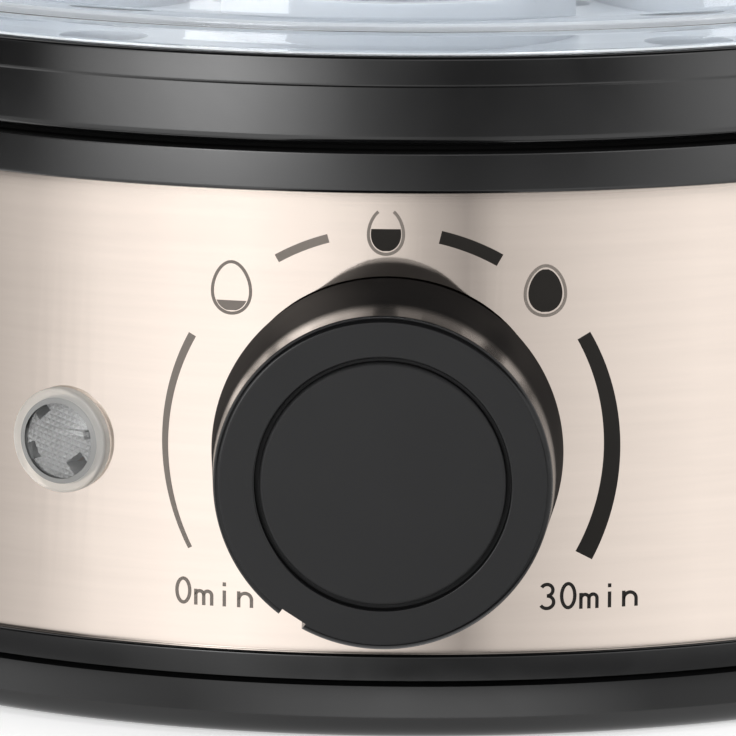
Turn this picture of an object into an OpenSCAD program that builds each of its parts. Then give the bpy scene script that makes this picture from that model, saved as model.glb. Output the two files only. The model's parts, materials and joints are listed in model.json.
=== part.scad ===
// Electric egg cooker: a steel band between black plastic rings, a wind-up timer knob and a clear lid.
// Millimetres, +Z up, origin on the table under the body's axis, the knob at the front on -Y.

/* [Steel band] */
// Outer radius of the steel band
band_r = 85; // [82:0.5:90]
// Sheet thickness of the steel band
band_t = 0.8; // [0.6:0.1:1]
// Height of the band that shows between the base and the trim ring
band_h = 53.3; // [52:0.1:60]
// Depth of the slots that hold the band's two edges
slot_d = 1.9; // [1.2:0.1:2.2]

/* [Clearances] */
// Clearance between fixed pieces that slot together
fit_gap = 0.1; // [0.05:0.05:0.15]
// Radial clearance of a turning shaft in its hole
run_gap = 0.05; // [0.02:0.01:0.08]
// Clearance around a piece that lifts off
lift_gap = 0.4; // [0.3:0.1:0.5]
// Gap between the knob's rim and the steel band
knob_gap = 0.6; // [0.4:0.1:1]

/* [Base shell] */
// Height of the base shell's outer wall
base_h = 10; // [9.5:0.1:12]
// How far the lower base band stands out past the steel band
base_proud = 1.4; // [1.2:0.1:2]
// How far the upper base lip and the trim ring stand out past the steel band
lip_proud = 1; // [0.8:0.1:1.2]
// Height of the upper base lip
lip_h = 3; // [2.6:0.1:3.4]
// Width of the groove under the upper base lip
lip_groove = 0.6; // [0.4:0.1:0.8]
// Radius of the base's rounded lower edge
base_round = 3; // [2:0.5:4]
// Wall and floor thickness of the plastic shells
wall = 2.3; // [2:0.1:2.6]
// Width of the rim that the base stands on
rim_w = 3.6; // [3:0.1:4]
// Height of the standing rim below the floor
rim_h = 2.2; // [1.8:0.1:2.6]
// Height of the curb inside the band, above the base lip
curb_h = 3; // [2:0.1:3.2]
// Length of each cooling slot in the floor
vent_l = 34; // [20:1:40]
// Width of each cooling slot in the floor
vent_w = 3; // [2:0.5:4]

/* [Rubber feet] */
// Radius of each rubber foot
foot_r = 7; // [5:0.5:8]
// Distance of each rubber foot from the axis
foot_at = 60; // [54:1:61]
// Radius of the stem that holds a rubber foot in the floor
foot_stem_r = 2.5; // [2:0.1:3]
// Width of the barb on each stem
foot_barb = 0.8; // [0.5:0.1:1]

/* [Case screws] */
// Distance of the case screws outside the rack ledge's inner edge
pillar_out = 2.3; // [2:0.1:2.6]
// Radius of the pillars and bosses that take the case screws
pillar_r = 4; // [3.8:0.1:4.2]
// Length of the bosses below the boiler ring
boss_l = 13.4; // [11:0.1:18]
// Shank radius of a case screw
case_screw_r = 1.5; // [1.2:0.1:1.6]
// Head radius of a case screw
case_head_r = 2.8; // [2.5:0.1:3]
// Head height of a case screw
case_head_h = 2.2; // [1.8:0.1:2.6]
// Depth of a case screw in its boss
case_grip = 9; // [7:0.5:11]

/* [Trim ring] */
// Height of the trim ring's outer face
trim_h = 4.9; // [4.4:0.1:6]
// Height of the land that the boiler ring stands on
land_h = 0.5; // [0.4:0.1:0.8]
// Depth of the groove between the trim ring and the boiler ring
groove_d = 1.5; // [1:0.1:1.8]
// Radius of the trim ring's rounded edges
trim_round = 0.5; // [0.3:0.1:0.7]
// Depth of the trim ring's skirt inside the band
trim_skirt = 2; // [1.5:0.1:3]

/* [Boiler ring] */
// Height of the boiler ring's outer face
ring_h = 10.3; // [9.6:0.1:12]
// Height of the ring's upper band, above the crease
ring_top_band = 3.4; // [2.8:0.1:4]
// How far the ring stands out past the steel band
ring_proud = 1; // [0.8:0.1:1.4]
// How far the ring's top edge stands out past the steel band
ring_edge = 0.8; // [0.5:0.1:1]
// Radius of the ring's top edge
ring_edge_round = 0.5; // [0.3:0.1:0.8]
// Depth of the crease round the ring
ring_crease = 0.25; // [0.15:0.05:0.4]
// Radius of the ring's rounded lower edge
ring_round = 1.2; // [0.8:0.1:1.4]
// Width of the lid's seat on the ring
seat_w = 5.5; // [5.1:0.1:6.1]
// Depth of the rack's ledge below the lid's seat
ledge_d = 3.6; // [3.2:0.1:4.2]
// Width of the rack's ledge
ledge_w = 7.1; // [6.5:0.1:7.6]
// Depth of the dish's ledge below the rack's ledge
dish_ledge_d = 9; // [8.4:0.1:10]
// Width of the dish's ledge
dish_ledge_w = 7.7; // [7.2:0.1:8.4]
// Thickness of the dish's ledge
dish_ledge_t = 3; // [2.6:0.1:3.4]

/* [Dish and heater] */
// Gap between the dish's wall and its ledge
dish_slack = 2.5; // [2:0.1:3]
// Sheet thickness of the boiler dish
dish_t = 0.8; // [0.6:0.1:1]
// Depth of the boiler dish below its rim
dish_d = 11.4; // [10:0.2:12]
// Radius of the boiler dish's rounded floor corner
dish_round = 4; // [2:0.5:5]
// Thickness of the silicone seal under the dish's rim
seal_t = 1; // [0.8:0.1:1.4]
// Width of each clip that holds the dish
clip_w = 12; // [9:0.5:15]
// Sheet thickness of each dish clip
clip_t = 1.2; // [0.8:0.1:1.4]
// Drop of each dish clip beside the dish's wall
clip_drop = 8; // [6:0.5:9]
// Shank radius of a clip screw
clip_screw_r = 1.2; // [1:0.1:1.4]
// Head radius of a clip screw
clip_head_r = 2.2; // [2:0.1:2.6]
// Head height of a clip screw
clip_head_h = 1.4; // [1:0.1:1.8]
// Radius of the heat spreader plate
spreader_r = 46; // [43:0.5:50]
// Thickness of the heat spreader plate
spreader_t = 2.8; // [2:0.1:3.2]
// Radius of the heating element's ring
element_at = 36; // [34:0.5:38]
// Radius of the heating element's tube
element_r = 3.2; // [3:0.1:3.6]
// Angle of the gap between the heating element's ends
element_gap = 70; // [60:1:80]
// Length of the heating element's legs
element_leg = 8; // [6:0.5:9]
// Length of the heating element's terminal pins
element_pin = 6; // [5:0.5:8]
// Radius of the heating element's terminal pins
pin_r = 1.2; // [1:0.1:1.5]
// Radius of the thermostat's body
thermostat_r = 8; // [7:0.5:9]
// Height of the thermostat's body
thermostat_h = 8; // [7:0.5:9]
// Width of the thermostat's flange round its body
thermostat_flange = 2; // [1.5:0.1:3]
// Length of the thermostat's terminal tabs
thermostat_tab = 7; // [6:0.5:8]
// Radius of the thermal fuse
fuse_r = 2.2; // [1.8:0.1:2.5]
// Length of the thermal fuse
fuse_l = 14; // [11:1:18]
// Sheet thickness of the fuse's clip
fuse_clip_t = 0.8; // [0.6:0.1:1]
// Width of the fuse's clip
fuse_clip_w = 6; // [5:0.5:8]

/* [Timer] */
// Height of the band's middle above the timer's shaft
knob_drop = 3.05; // [2:0.05:4]
// Width and height of the timer's case
timer_w = 38; // [37:0.5:40]
// Depth of the timer's case
timer_d = 22; // [21:0.5:24]
// Wall thickness of the timer's case
timer_wall = 1.5; // [1.2:0.1:1.8]
// Thickness of the timer's front plate
plate_t = 1.5; // [1.2:0.1:2]
// Depth of the saddle between the band and the front plate, on the shaft's axis
saddle_d = 5; // [4.5:0.1:6]
// Width of the saddle
saddle_w = 34; // [30:0.5:36]
// Radius of the timer's shaft
shaft_r = 3; // [2.8:0.1:3.2]
// Depth of the flat on the timer's shaft
shaft_flat = 0.6; // [0.4:0.1:0.8]
// Radius of the pivot at the shaft's inner end
pivot_r = 1.5; // [1.2:0.1:1.8]
// Radius of the hole in the band around the shaft
shaft_hole_r = 4.4; // [4:0.1:5]
// Distance between the two timer screws
timer_screw_pitch = 22; // [20:0.5:24]
// Shank radius of a timer screw
timer_screw_r = 1.5; // [1.2:0.1:1.7]
// Head radius of a timer screw
timer_head_r = 2.8; // [2.4:0.1:3]
// Head height of a timer screw
timer_head_h = 1.8; // [1.4:0.1:2.2]
// Module of the timer's gears
gear_module = 0.45; // [0.42:0.01:0.46]
// Teeth on the main wheel
wheel_teeth = 40; // [36:4:40]
// Teeth on the escape arbor's pinion
pinion_teeth = 16; // [16:2:18]
// Thickness of the main wheel
wheel_t = 2; // [1.6:0.1:2.4]
// Distance of the main wheel behind the front plate
wheel_back = 5.5; // [5:0.1:6]
// Play between the gears' teeth
gear_play = 0.14; // [0.12:0.01:0.2]
// Radius of the escape arbor
arbor_r = 1; // [0.8:0.1:1.2]
// Radius of the escape wheel
escape_r = 5.6; // [5:0.1:6]
// Height of the escape wheel's teeth
escape_tooth = 1.2; // [0.8:0.1:1.6]
// Thickness of the escape wheel
escape_t = 1.2; // [0.8:0.1:1.4]
// Teeth on the escape wheel
escape_teeth = 15; // [12:1:20]
// Radius of the switch cam
cam_r = 7; // [6.5:0.1:7.4]
// Thickness of the switch cam
cam_t = 3; // [2.4:0.1:3.4]
// Depth of the switch cam's dip
cam_dip = 1.4; // [1:0.1:1.8]
// Gap between the wheels and the cam along the shaft
wheel_gap = 1; // [0.6:0.1:1.2]
// Gap between the mainspring's barrel and the escape arbor
spring_gap = 0.6; // [0.4:0.1:2]
// Height of the mainspring's barrel
spring_h = 5; // [4:0.2:5.6]
// Gap between the cam and the nearer leaf contact
contact_gap = 0.5; // [0.4:0.1:0.8]
// Distance between the two leaf contacts
contact_pitch = 2.2; // [1.8:0.1:3]
// Thickness of each leaf contact
leaf_t = 0.4; // [0.3:0.1:0.6]
// Height of the block that holds the leaf contacts
contact_h = 5; // [4:0.5:6]
// Width of each terminal blade
blade_w = 4.8; // [4:0.1:5]
// Thickness of each terminal blade
blade_t = 0.8; // [0.6:0.1:1]
// Length of each terminal blade outside the case
blade_out = 8; // [6:0.5:9]
// Distance of each terminal blade from the case's inner corner
blade_in = 3.2; // [3:0.1:4]
// Radius of the timer's bell
bell_r = 14; // [12:0.5:15]
// Depth of the timer's bell
bell_d = 6; // [5:0.5:7]
// Sheet thickness of the timer's bell
bell_t = 0.9; // [0.7:0.1:1.1]
// Radius of the bell's rounded crown
bell_round = 3; // [2:0.5:4]
// Radius of the rivet that holds the bell
rivet_r = 2; // [1.6:0.1:2.4]
// Gap between the bell and the timer's case
bell_gap = 1; // [0.8:0.1:1.5]

/* [Knob] */
// Radius of the knob near its face
knob_r = 19; // [18:0.1:20]
// Length of the knob from its rim to its face
knob_l = 18.6; // [17:0.1:20]
// Wall thickness of the knob
knob_wall = 2; // [1.6:0.1:2.4]
// Thickness of the knob's face
knob_face_t = 5; // [4.5:0.1:5.5]
// How much wider the knob is at its rim than at its face
knob_draft = 1; // [0:0.1:1.5]
// Wall thickness of the knob's hub
hub_wall = 2.2; // [1.8:0.1:2.6]
// Length of the knob's hub behind its face
hub_l = 10.4; // [8:0.1:11]
// Radius of the inset cap in the knob's face
cap_r = 13.8; // [13:0.05:14]
// Thickness of the inset cap
cap_t = 2.4; // [2:0.1:2.8]
// Width of the groove around the inset cap
cap_groove_w = 0.5; // [0.4:0.1:0.8]
// Depth of the groove around the inset cap
cap_groove_d = 1.1; // [0.8:0.1:1.4]
// Bevel of the inset cap's edge
cap_bevel = 0.4; // [0.2:0.1:0.6]
// Radius of the knob's rounded front edge
knob_round = 0.9; // [0.6:0.1:1.5]
// Width of the pointer notch
notch_w = 3.1; // [2.4:0.1:3.6]
// Depth of the pointer notch
notch_d = 0.9; // [0.6:0.1:1.2]
// Angle of the pointer notch from straight down, at zero minutes
notch_angle = 33; // [20:1:50]

/* [Lamp] */
// Angle of the lamp round the body, left of the knob
lamp_angle = 26.1; // [25.5:0.1:32]
// Height of the timer's shaft above the lamp
lamp_drop = 0.8; // [0:0.1:6]
// Radius of the lamp's rim
lamp_r = 6.1; // [5.8:0.1:6.6]
// Radius of the lamp's body behind the rim
lamp_body_r = 5; // [4.6:0.1:5.2]
// Depth of the lamp's body behind the band
lamp_d = 13; // [11:0.5:14]
// Thickness of the lamp's rim
lamp_rim_t = 1.2; // [1:0.1:1.6]
// Bevel of the lamp's rim
lamp_bevel = 0.4; // [0.2:0.1:0.6]
// Height of the lens dome above the rim
lamp_dome = 0.8; // [0.6:0.1:1.6]
// Wall thickness of the lamp's body
lamp_wall = 0.6; // [0.5:0.1:0.9]
// Length of the reflector inside the lamp
reflector_l = 7; // [6:0.5:8]
// Thickness of the reflector's front
reflector_t = 1; // [0.8:0.1:1.4]
// Radius of the glow bulb
bulb_r = 2.6; // [2.2:0.1:2.7]
// Length of the glow bulb's wires behind the lamp's body
bulb_wire = 3; // [2:0.5:4]
// Radius of the glow bulb's wires
bulb_wire_r = 0.5; // [0.4:0.1:0.6]
// Distance between the glow bulb's wires
bulb_wire_pitch = 2.4; // [2.2:0.1:2.8]
// Width of the spring clip behind the lamp
lamp_clip_w = 2; // [1.5:0.1:2.5]
// Thickness of the spring clip behind the lamp
lamp_clip_t = 1.2; // [0.8:0.1:1.4]

/* [Cord gland] */
// Height of the cord gland above the base shell
gland_up = 14; // [13:0.5:18]
// Radius of the gland's body
gland_r = 5.6; // [5.2:0.1:6]
// Radius of the gland's bore
gland_bore_r = 3.4; // [3:0.1:3.6]
// Radius of the gland's outer flange
gland_flange_r = 8; // [7.6:0.1:9]
// Thickness of the gland's outer flange
gland_flange_t = 2.4; // [2:0.1:3]
// Length of the gland's nose outside the flange
gland_nose = 4; // [3:0.5:6]
// Wall thickness at the end of the gland's nose
gland_nose_wall = 1.2; // [1:0.1:1.6]
// Depth of the gland inside the band
gland_in = 10; // [9:0.5:12]
// Thickness of the gland's nut
gland_nut_t = 4; // [3:0.5:5]
// Width across the corners of the gland's nut
gland_nut_w = 17; // [16:0.5:18]

/* [Terminal block and leads] */
// Width of the terminal block
block_w = 26; // [24:1:32]
// Depth of the terminal block
block_d = 14; // [12:1:18]
// Height of the terminal block
block_h = 11; // [9:0.5:14]
// Distance of the terminal block's middle behind the axis
block_at = 52; // [50:1:56]
// Distance between the terminal block's screws
block_pitch = 8; // [7:0.5:8.5]
// Head radius of a terminal screw
block_screw_r = 2; // [1.6:0.1:2.4]
// Depth of a terminal screw in the block
block_screw_l = 5; // [4:0.5:6]
// Radius of the power leads
lead_r = 1.1; // [0.9:0.1:1.2]
// Radius of the lamp's leads
lamp_lead_r = 0.8; // [0.6:0.1:0.9]

/* [Lid] */
// Height of the lid's wall from its seat to its shoulder
lid_wall_h = 50; // [40:1:60]
// Wall thickness of the lid
lid_t = 2.2; // [1.8:0.1:2.6]
// Thickness of the lid's flange
flange_t = 2.7; // [2.2:0.1:3.2]
// Radius of the flange's rounded edges
flange_round = 0.6; // [0.4:0.1:0.9]
// How far the flange's edge lies inside the ring's top edge
flange_in = 0.6; // [0.3:0.1:0.9]
// Distance of the lid's inner wall inside the ring's seat
lid_step = 1.9; // [1.6:0.1:2.4]
// Draw-in of the lid's wall from its foot to its shoulder
lid_taper = 4.5; // [3:0.5:7]
// Radius of the lid's shoulder
shoulder_r = 22; // [16:1:26]
// Slope of the lid's crown
crown_slope = 6; // [3:0.5:9]
// Radius of each steam vent
steam_r = 2; // [1.5:0.1:2.5]
// Distance of the steam vents from the axis
steam_at = 27; // [25:0.5:32]

/* [Lid knob] */
// Radius of the lid knob's top
lid_knob_r = 18; // [16:0.5:20]
// Height of the lid knob
lid_knob_h = 19; // [17:0.5:22]
// Rise of the lid knob's top
lid_knob_rise = 1; // [0.5:0.1:2]
// Radius of the lid knob's rounded edge
lid_knob_edge = 3; // [2:0.1:4]
// Radius of the lid knob's neck
lid_neck_r = 9; // [8:0.5:11]
// Radius of the lid knob's foot
lid_foot_r = 14; // [12:0.5:16]
// Thickness of the lid knob's foot
lid_foot_t = 1.4; // [1:0.1:2]
// Shank radius of the lid knob's screw
lid_screw_r = 2; // [1.6:0.1:2.2]
// Head radius of the lid knob's screw
lid_head_r = 4; // [3.5:0.1:4.5]
// Head height of the lid knob's screw
lid_head_h = 2.4; // [2:0.1:3]
// Depth of the screw in the lid knob
lid_grip = 9; // [7:0.5:11]
// Radius of the washer under the lid
washer_r = 7; // [6:0.5:9]
// Thickness of the washer under the lid
washer_t = 1.2; // [0.8:0.1:1.6]

/* [Egg rack] */
// Thickness of the rack's plate
rack_t = 2; // [1.6:0.1:2.2]
// Radius of each egg seat
egg_r = 19; // [17:0.5:19.5]
// Distance of the outer egg seats from the axis
egg_at = 48; // [46:0.5:49]
// Wall thickness of the collar round each egg seat
collar_t = 1.6; // [1.2:0.1:2]
// Height of the collar round each egg seat
collar_h = 5; // [3:0.5:7]
// Radius of each steam hole between the egg seats
rack_hole_r = 2.5; // [1.5:0.1:2.8]
// Distance of the inner steam holes from the axis
rack_hole_at = 39.6; // [39:0.1:40]
// Radius of each outer steam hole
rack_port_r = 5; // [3:0.5:6]
// Distance of the finger tabs inside the rack's edge
tab_in = 8.9; // [8:0.1:10]
// Width of each finger tab
tab_w = 24; // [20:0.5:26]
// Height of each finger tab
tab_h = 22; // [20:0.5:26]
// Thickness of each finger tab
tab_t = 2.2; // [1.8:0.1:2.6]
// Width of the finger hole in each tab
grip_w = 16; // [12:0.5:18]
// Height of the finger hole in each tab
grip_h = 9; // [8:0.5:10]
// Width of the bar above the finger hole
grip_bar = 3; // [2:0.5:4]

/* [Hidden] */
$fn = 96;
eps = 0.01;
steps = 10;
front = 0;
rear = 180;
case_screw_angles = [25, 155, 205, 335];
foot_angles = [45, 135, 225, 315];
clip_angles = [60, 180, 300];
steam_angles = [0, 120, 240];
tab_angles = [0, 180];
port_angles = [60, 120, 240, 300];
egg_angles = [30, 90, 150, 210, 270, 330];
vent_rows = [-2, -1, 0, 1, 2];

// Radii, from the band inwards
band_in = band_r - band_t;
base_out = band_r + base_proud;
lip_out = band_r + lip_proud;
slot_out = band_r + fit_gap;
slot_in = band_in - fit_gap;
curb_in = slot_in - wall;
spigot_r = curb_in - fit_gap;
rim_in = base_out - base_round - rim_w;
ring_out = band_r + ring_proud;
ring_edge_r = band_r + ring_edge;
land_r = ring_out - groove_d;
seat_r = ring_edge_r - seat_w;
ledge_r = seat_r - ledge_w;
dish_ledge_r = ledge_r - dish_ledge_w;
dish_r = dish_ledge_r - dish_slack;
dish_rim_r = ledge_r - 2 * fit_gap;
pillar_at = ledge_r + pillar_out;
clip_screw_at = (dish_ledge_r + ledge_r) / 2;

// Heights, from the table up
floor_top = rim_h + wall;
head_z = floor_top + wall;
band_z0 = base_h - slot_d;
trim_z0 = base_h + band_h;
band_z1 = trim_z0 + slot_d;
trim_z1 = trim_z0 + trim_h;
ring_z0 = trim_z1 + land_h;
seat_z = ring_z0 + ring_h;
ledge_z = seat_z - ledge_d;
dish_ledge_z = ledge_z - dish_ledge_d;
ring_under_z = dish_ledge_z - dish_ledge_t;
boss_z = ring_under_z - boss_l;
pillar_top = boss_z - fit_gap;
flange_z = dish_ledge_z + seal_t;
dish_floor_z = flange_z + dish_t - dish_d;
dish_under_z = dish_floor_z - dish_t;
spreader_z = dish_under_z - spreader_t;
element_z = spreader_z - element_r;
pin_end_z = element_z - element_leg - element_pin;
thermostat_z = spreader_z - thermostat_h;
tab_z = thermostat_z + thermostat_h / 4;
fuse_z = spreader_z - fuse_clip_t - fuse_r;
fuse_y = -(thermostat_r + element_at) / 2;
knob_z = base_h + band_h / 2 - knob_drop;
lamp_z = knob_z - lamp_drop;
gland_z = base_h + gland_up;
element_angles = [90 - element_gap / 2, 90 + element_gap / 2];

// Places along the timer's shaft and the lamp, measured out from the body's axis
plate_z1 = band_in - saddle_d;
plate_z0 = plate_z1 - plate_t;
case_z0 = plate_z0 - timer_d;
case_floor = case_z0 + timer_wall;
knob_z0 = band_r + knob_gap;
knob_z1 = knob_z0 + knob_l;
hub_z1 = knob_z1 - knob_face_t;
hub_z0 = hub_z1 - hub_l;
shaft_z0 = case_floor + spring_h + fit_gap;
shaft_z1 = knob_z1 - cap_t - (knob_face_t - cap_t) / 2;
wheel_z = plate_z0 - wheel_back;
escape_z = wheel_z + wheel_t + wheel_gap;
cam_z = wheel_z - wheel_gap - cam_t;
lamp_z0 = band_in - lamp_d;
lamp_inner_r = lamp_body_r - lamp_wall;
arbor_at = gear_module * (wheel_teeth + pinion_teeth) / 2;
arbor_angle = 45;
spring_r = arbor_at - arbor_r - spring_gap;
blade_at = timer_w / 2 - timer_wall - blade_in;
leaf_x = cam_r + contact_gap;

// Lid and rack
rack_r = seat_r - lift_gap;
tab_at = rack_r - tab_in;
lid_in_r = seat_r - lid_step;
lid_out_r = lid_in_r + lid_t;
lid_lip_z = ledge_z + rack_t + lift_gap;
lid_foot_z = seat_z + flange_t;
lid_shoulder_z = seat_z + lid_wall_h;
crown_r = lid_out_r - lid_taper - shoulder_r;
crown_end = crown_r + shoulder_r * sin(crown_slope);
lid_top_z = lid_shoulder_z + shoulder_r * cos(crown_slope) + (crown_end - lid_foot_r) * tan(crown_slope);
lid_under_z = lid_top_z - lid_t / cos(crown_slope);

// Points on a circle from angle a0 to a1
function arc(centre, r, a0, a1, n = steps) =
    [for (i = [0:n]) centre + r * [cos(a0 + (a1 - a0) * i / n), sin(a0 + (a1 - a0) * i / n)]];

// Point that faces out of the body at an angle from the front: across, above and out
function radial_point(angle, z, across, above, out) =
    [across * cos(angle) + out * sin(angle), across * sin(angle) - out * cos(angle), z + above];

// Turns a child that points along +Z to point out of the body at an angle from the front
module radial(angle, z) {
    rotate([0, 0, angle]) translate([0, 0, z]) rotate([90, 0, 0]) children();
}

// Copies a child round the axis at each angle
module around(angles, at) {
    for (a = angles) rotate([0, 0, a]) translate([at, 0, 0]) children();
}

// Hollow cylinder
module pipe(outer, inner, h) {
    difference() {
        cylinder(r = outer, h = h);
        translate([0, 0, -eps]) cylinder(r = inner, h = h + 2 * eps);
    }
}

// Screw that points along +Z with its head below the origin
module screw(r, length, head_r, head_h) {
    translate([0, 0, -eps]) cylinder(r = r, h = length + eps);
    translate([0, 0, -head_h]) cylinder(r = head_r, h = head_h);
}

// Hole through the band, out of the body at an angle from the front
module band_hole(angle, z, r, across = 0) {
    radial(angle, z) translate([across, 0, band_r / 2]) cylinder(r = r, h = band_r);
}

module base_shell() {
    color("#232324") difference() {
        union() {
            rotate_extrude() polygon(concat(
                arc([base_out - base_round, base_round], base_round, -90, 0),
                [[base_out, base_h - lip_h - lip_groove],
                 [lip_out - lip_groove, base_h - lip_h - lip_groove / 2],
                 [lip_out, base_h - lip_h],
                 [lip_out, base_h],
                 [slot_out, base_h],
                 [slot_out, band_z0],
                 [slot_in, band_z0],
                 [slot_in, base_h + curb_h],
                 [curb_in, base_h + curb_h],
                 [curb_in, floor_top],
                 [0, floor_top],
                 [0, rim_h],
                 [rim_in, rim_h],
                 [rim_in, 0]]));
            around(case_screw_angles, pillar_at) translate([0, 0, rim_h])
                cylinder(r = pillar_r, h = pillar_top - rim_h);
        }
        around(case_screw_angles, pillar_at) {
            translate([0, 0, -eps]) cylinder(r = case_head_r + fit_gap, h = head_z + eps);
            cylinder(r = case_screw_r + fit_gap, h = pillar_top + eps);
        }
        around(foot_angles, foot_at) cylinder(r = foot_stem_r + fit_gap, h = floor_top + eps);
        for (row = vent_rows) translate([-vent_l / 2, (3 * row - 0.5) * vent_w, 0])
            cube([vent_l, vent_w, floor_top + eps]);
    }
}

module rubber_feet() {
    barb_z = floor_top + fit_gap;
    color("#161616") around(foot_angles, foot_at) rotate_extrude() polygon([
        [0, 0],
        [foot_r - foot_barb, 0],
        [foot_r, foot_barb],
        [foot_r, rim_h],
        [foot_stem_r, rim_h],
        [foot_stem_r, barb_z],
        [foot_stem_r + foot_barb, barb_z],
        [foot_stem_r, barb_z + 2 * foot_barb],
        [0, barb_z + 2 * foot_barb]]);
}

module case_screws() {
    color("silver") around(case_screw_angles, pillar_at) translate([0, 0, head_z])
        screw(case_screw_r, boss_z - head_z + case_grip, case_head_r, case_head_h);
}

module steel_band() {
    color("#e6cfc0") difference() {
        translate([0, 0, band_z0]) pipe(band_r, band_in, band_z1 - band_z0);
        band_hole(front, knob_z, shaft_hole_r);
        for (side = [-1, 1]) band_hole(front, knob_z, timer_screw_r + fit_gap, side * timer_screw_pitch / 2);
        band_hole(-lamp_angle, lamp_z, lamp_body_r + fit_gap);
        band_hole(rear, gland_z, gland_r + fit_gap);
    }
}

module trim_ring() {
    color("#1c1c1d") rotate_extrude() polygon(concat(
        [[slot_out, trim_z0]],
        arc([lip_out - trim_round, trim_z0 + trim_round], trim_round, -90, 0),
        arc([lip_out - trim_round, trim_z1 - trim_round], trim_round, 0, 90),
        [[land_r, trim_z1],
         [land_r, ring_z0],
         [curb_in, ring_z0],
         [curb_in, trim_z0 - trim_skirt],
         [slot_in, trim_z0 - trim_skirt],
         [slot_in, band_z1],
         [slot_out, band_z1]]));
}

module boiler_ring() {
    crease_z = seat_z - ring_top_band;
    pocket_in = ledge_r + wall;
    pocket_out = spigot_r - wall;
    color("#1c1c1d") difference() {
        union() {
            rotate_extrude() polygon(concat(
                [[spigot_r, ring_z0]],
                arc([ring_out - ring_round, ring_z0 + ring_round], ring_round, -90, 0),
                [[ring_out, crease_z - ring_crease],
                 [ring_out - ring_crease, crease_z],
                 [ring_out - ring_crease / 2, crease_z + ring_crease]],
                arc([ring_edge_r - ring_edge_round, seat_z - ring_edge_round], ring_edge_round, 0, 90),
                [[seat_r, seat_z],
                 [seat_r, ledge_z],
                 [ledge_r, ledge_z],
                 [ledge_r, dish_ledge_z],
                 [dish_ledge_r, dish_ledge_z],
                 [dish_ledge_r, ring_under_z],
                 [pocket_in, ring_under_z],
                 [pocket_in, ledge_z - wall],
                 [pocket_out, ledge_z - wall],
                 [pocket_out, ring_under_z],
                 [spigot_r, ring_under_z]]));
            around(case_screw_angles, pillar_at) translate([0, 0, boss_z])
                cylinder(r = pillar_r, h = boss_l + dish_ledge_t / 2);
        }
        around(case_screw_angles, pillar_at) translate([0, 0, boss_z - eps])
            cylinder(r = case_screw_r + fit_gap, h = case_grip + 1);
        around(clip_angles, clip_screw_at) translate([0, 0, ring_under_z - eps])
            cylinder(r = clip_screw_r + fit_gap, h = 0.8 * dish_ledge_t);
    }
}

module dish_seal() {
    color("#c8c8c4") translate([0, 0, dish_ledge_z]) pipe(dish_rim_r, dish_ledge_r + fit_gap, seal_t);
}

module boiler_dish() {
    top = flange_z + dish_t;
    corner = [dish_r - dish_round, dish_under_z + dish_round];
    color("#c9cacb") rotate_extrude() polygon(concat(
        [[0, dish_under_z]],
        arc(corner, dish_round, -90, 0),
        [[dish_r, flange_z], [dish_rim_r, flange_z], [dish_rim_r, top], [dish_r - dish_t, top]],
        arc(corner, dish_round - dish_t, 0, -90),
        [[0, dish_floor_z]]));
}

module dish_clips() {
    foot_l = clip_screw_at + clip_head_r + 1 - dish_r;
    color("silver") for (a = clip_angles) rotate([0, 0, a]) difference() {
        translate([dish_r, -clip_w / 2, ring_under_z]) {
            translate([-clip_t, 0, -clip_t]) cube([foot_l + clip_t, clip_w, clip_t]);
            translate([-clip_t, 0, -clip_drop]) cube([2 * clip_t, clip_w, clip_drop]);
        }
        cylinder(r = dish_r + fit_gap / 2, h = seat_z);
        translate([clip_screw_at, 0, ring_under_z - 2 * clip_t])
            cylinder(r = clip_screw_r + fit_gap, h = 3 * clip_t);
    }
}

module clip_screws() {
    color("silver") around(clip_angles, clip_screw_at) translate([0, 0, ring_under_z - clip_t])
        screw(clip_screw_r, clip_t + 0.6 * dish_ledge_t, clip_head_r, clip_head_h);
}

module heat_spreader() {
    color("#b9bbbd") translate([0, 0, spreader_z]) cylinder(r = spreader_r, h = spreader_t);
}

module heating_element() {
    color("#8d8f91") {
        rotate([0, 0, element_angles[1]]) rotate_extrude(angle = 360 - element_gap)
            translate([element_at, element_z]) circle(r = element_r);
        around(element_angles, element_at) {
            translate([0, 0, element_z]) sphere(r = element_r);
            translate([0, 0, element_z - element_leg]) cylinder(r = element_r, h = element_leg);
            translate([0, 0, pin_end_z]) cylinder(r = pin_r, h = element_pin + eps);
        }
    }
}

module thermostat() {
    sheet = 0.8;
    color("#3a3430") {
        translate([0, 0, thermostat_z]) cylinder(r = thermostat_r, h = thermostat_h);
        translate([0, 0, spreader_z - sheet]) cylinder(r = thermostat_r + thermostat_flange, h = sheet);
        for (side = [-1, 1]) translate([side * (thermostat_r + thermostat_tab / 2 - sheet / 2), 0, tab_z])
            cube([thermostat_tab + sheet, blade_w, sheet], center = true);
    }
}

module thermal_fuse() {
    color("#d8d2c2") translate([-fuse_l / 2, fuse_y, fuse_z]) rotate([0, 90, 0])
        cylinder(r = fuse_r, h = fuse_l);
}

module fuse_clip() {
    loop_r = fuse_r + fuse_clip_t;
    color("silver") difference() {
        translate([-fuse_clip_w / 2, fuse_y, fuse_z]) {
            rotate([0, 90, 0]) cylinder(r = loop_r, h = fuse_clip_w);
            translate([0, -2 * loop_r, fuse_r]) cube([fuse_clip_w, 2 * loop_r, fuse_clip_t]);
        }
        translate([-fuse_clip_w, fuse_y, fuse_z]) rotate([0, 90, 0])
            cylinder(r = fuse_r + fit_gap / 2, h = 2 * fuse_clip_w);
    }
}

// Places the two timer screws beside the shaft
module timer_screw_places() {
    for (side = [-1, 1]) radial(front, knob_z) translate([side * timer_screw_pitch / 2, 0, 0]) children();
}

// Places the escape arbor beside the shaft
module arbor_place() {
    rotate([0, 0, arbor_angle]) translate([arbor_at, 0, 0]) children();
}

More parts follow.
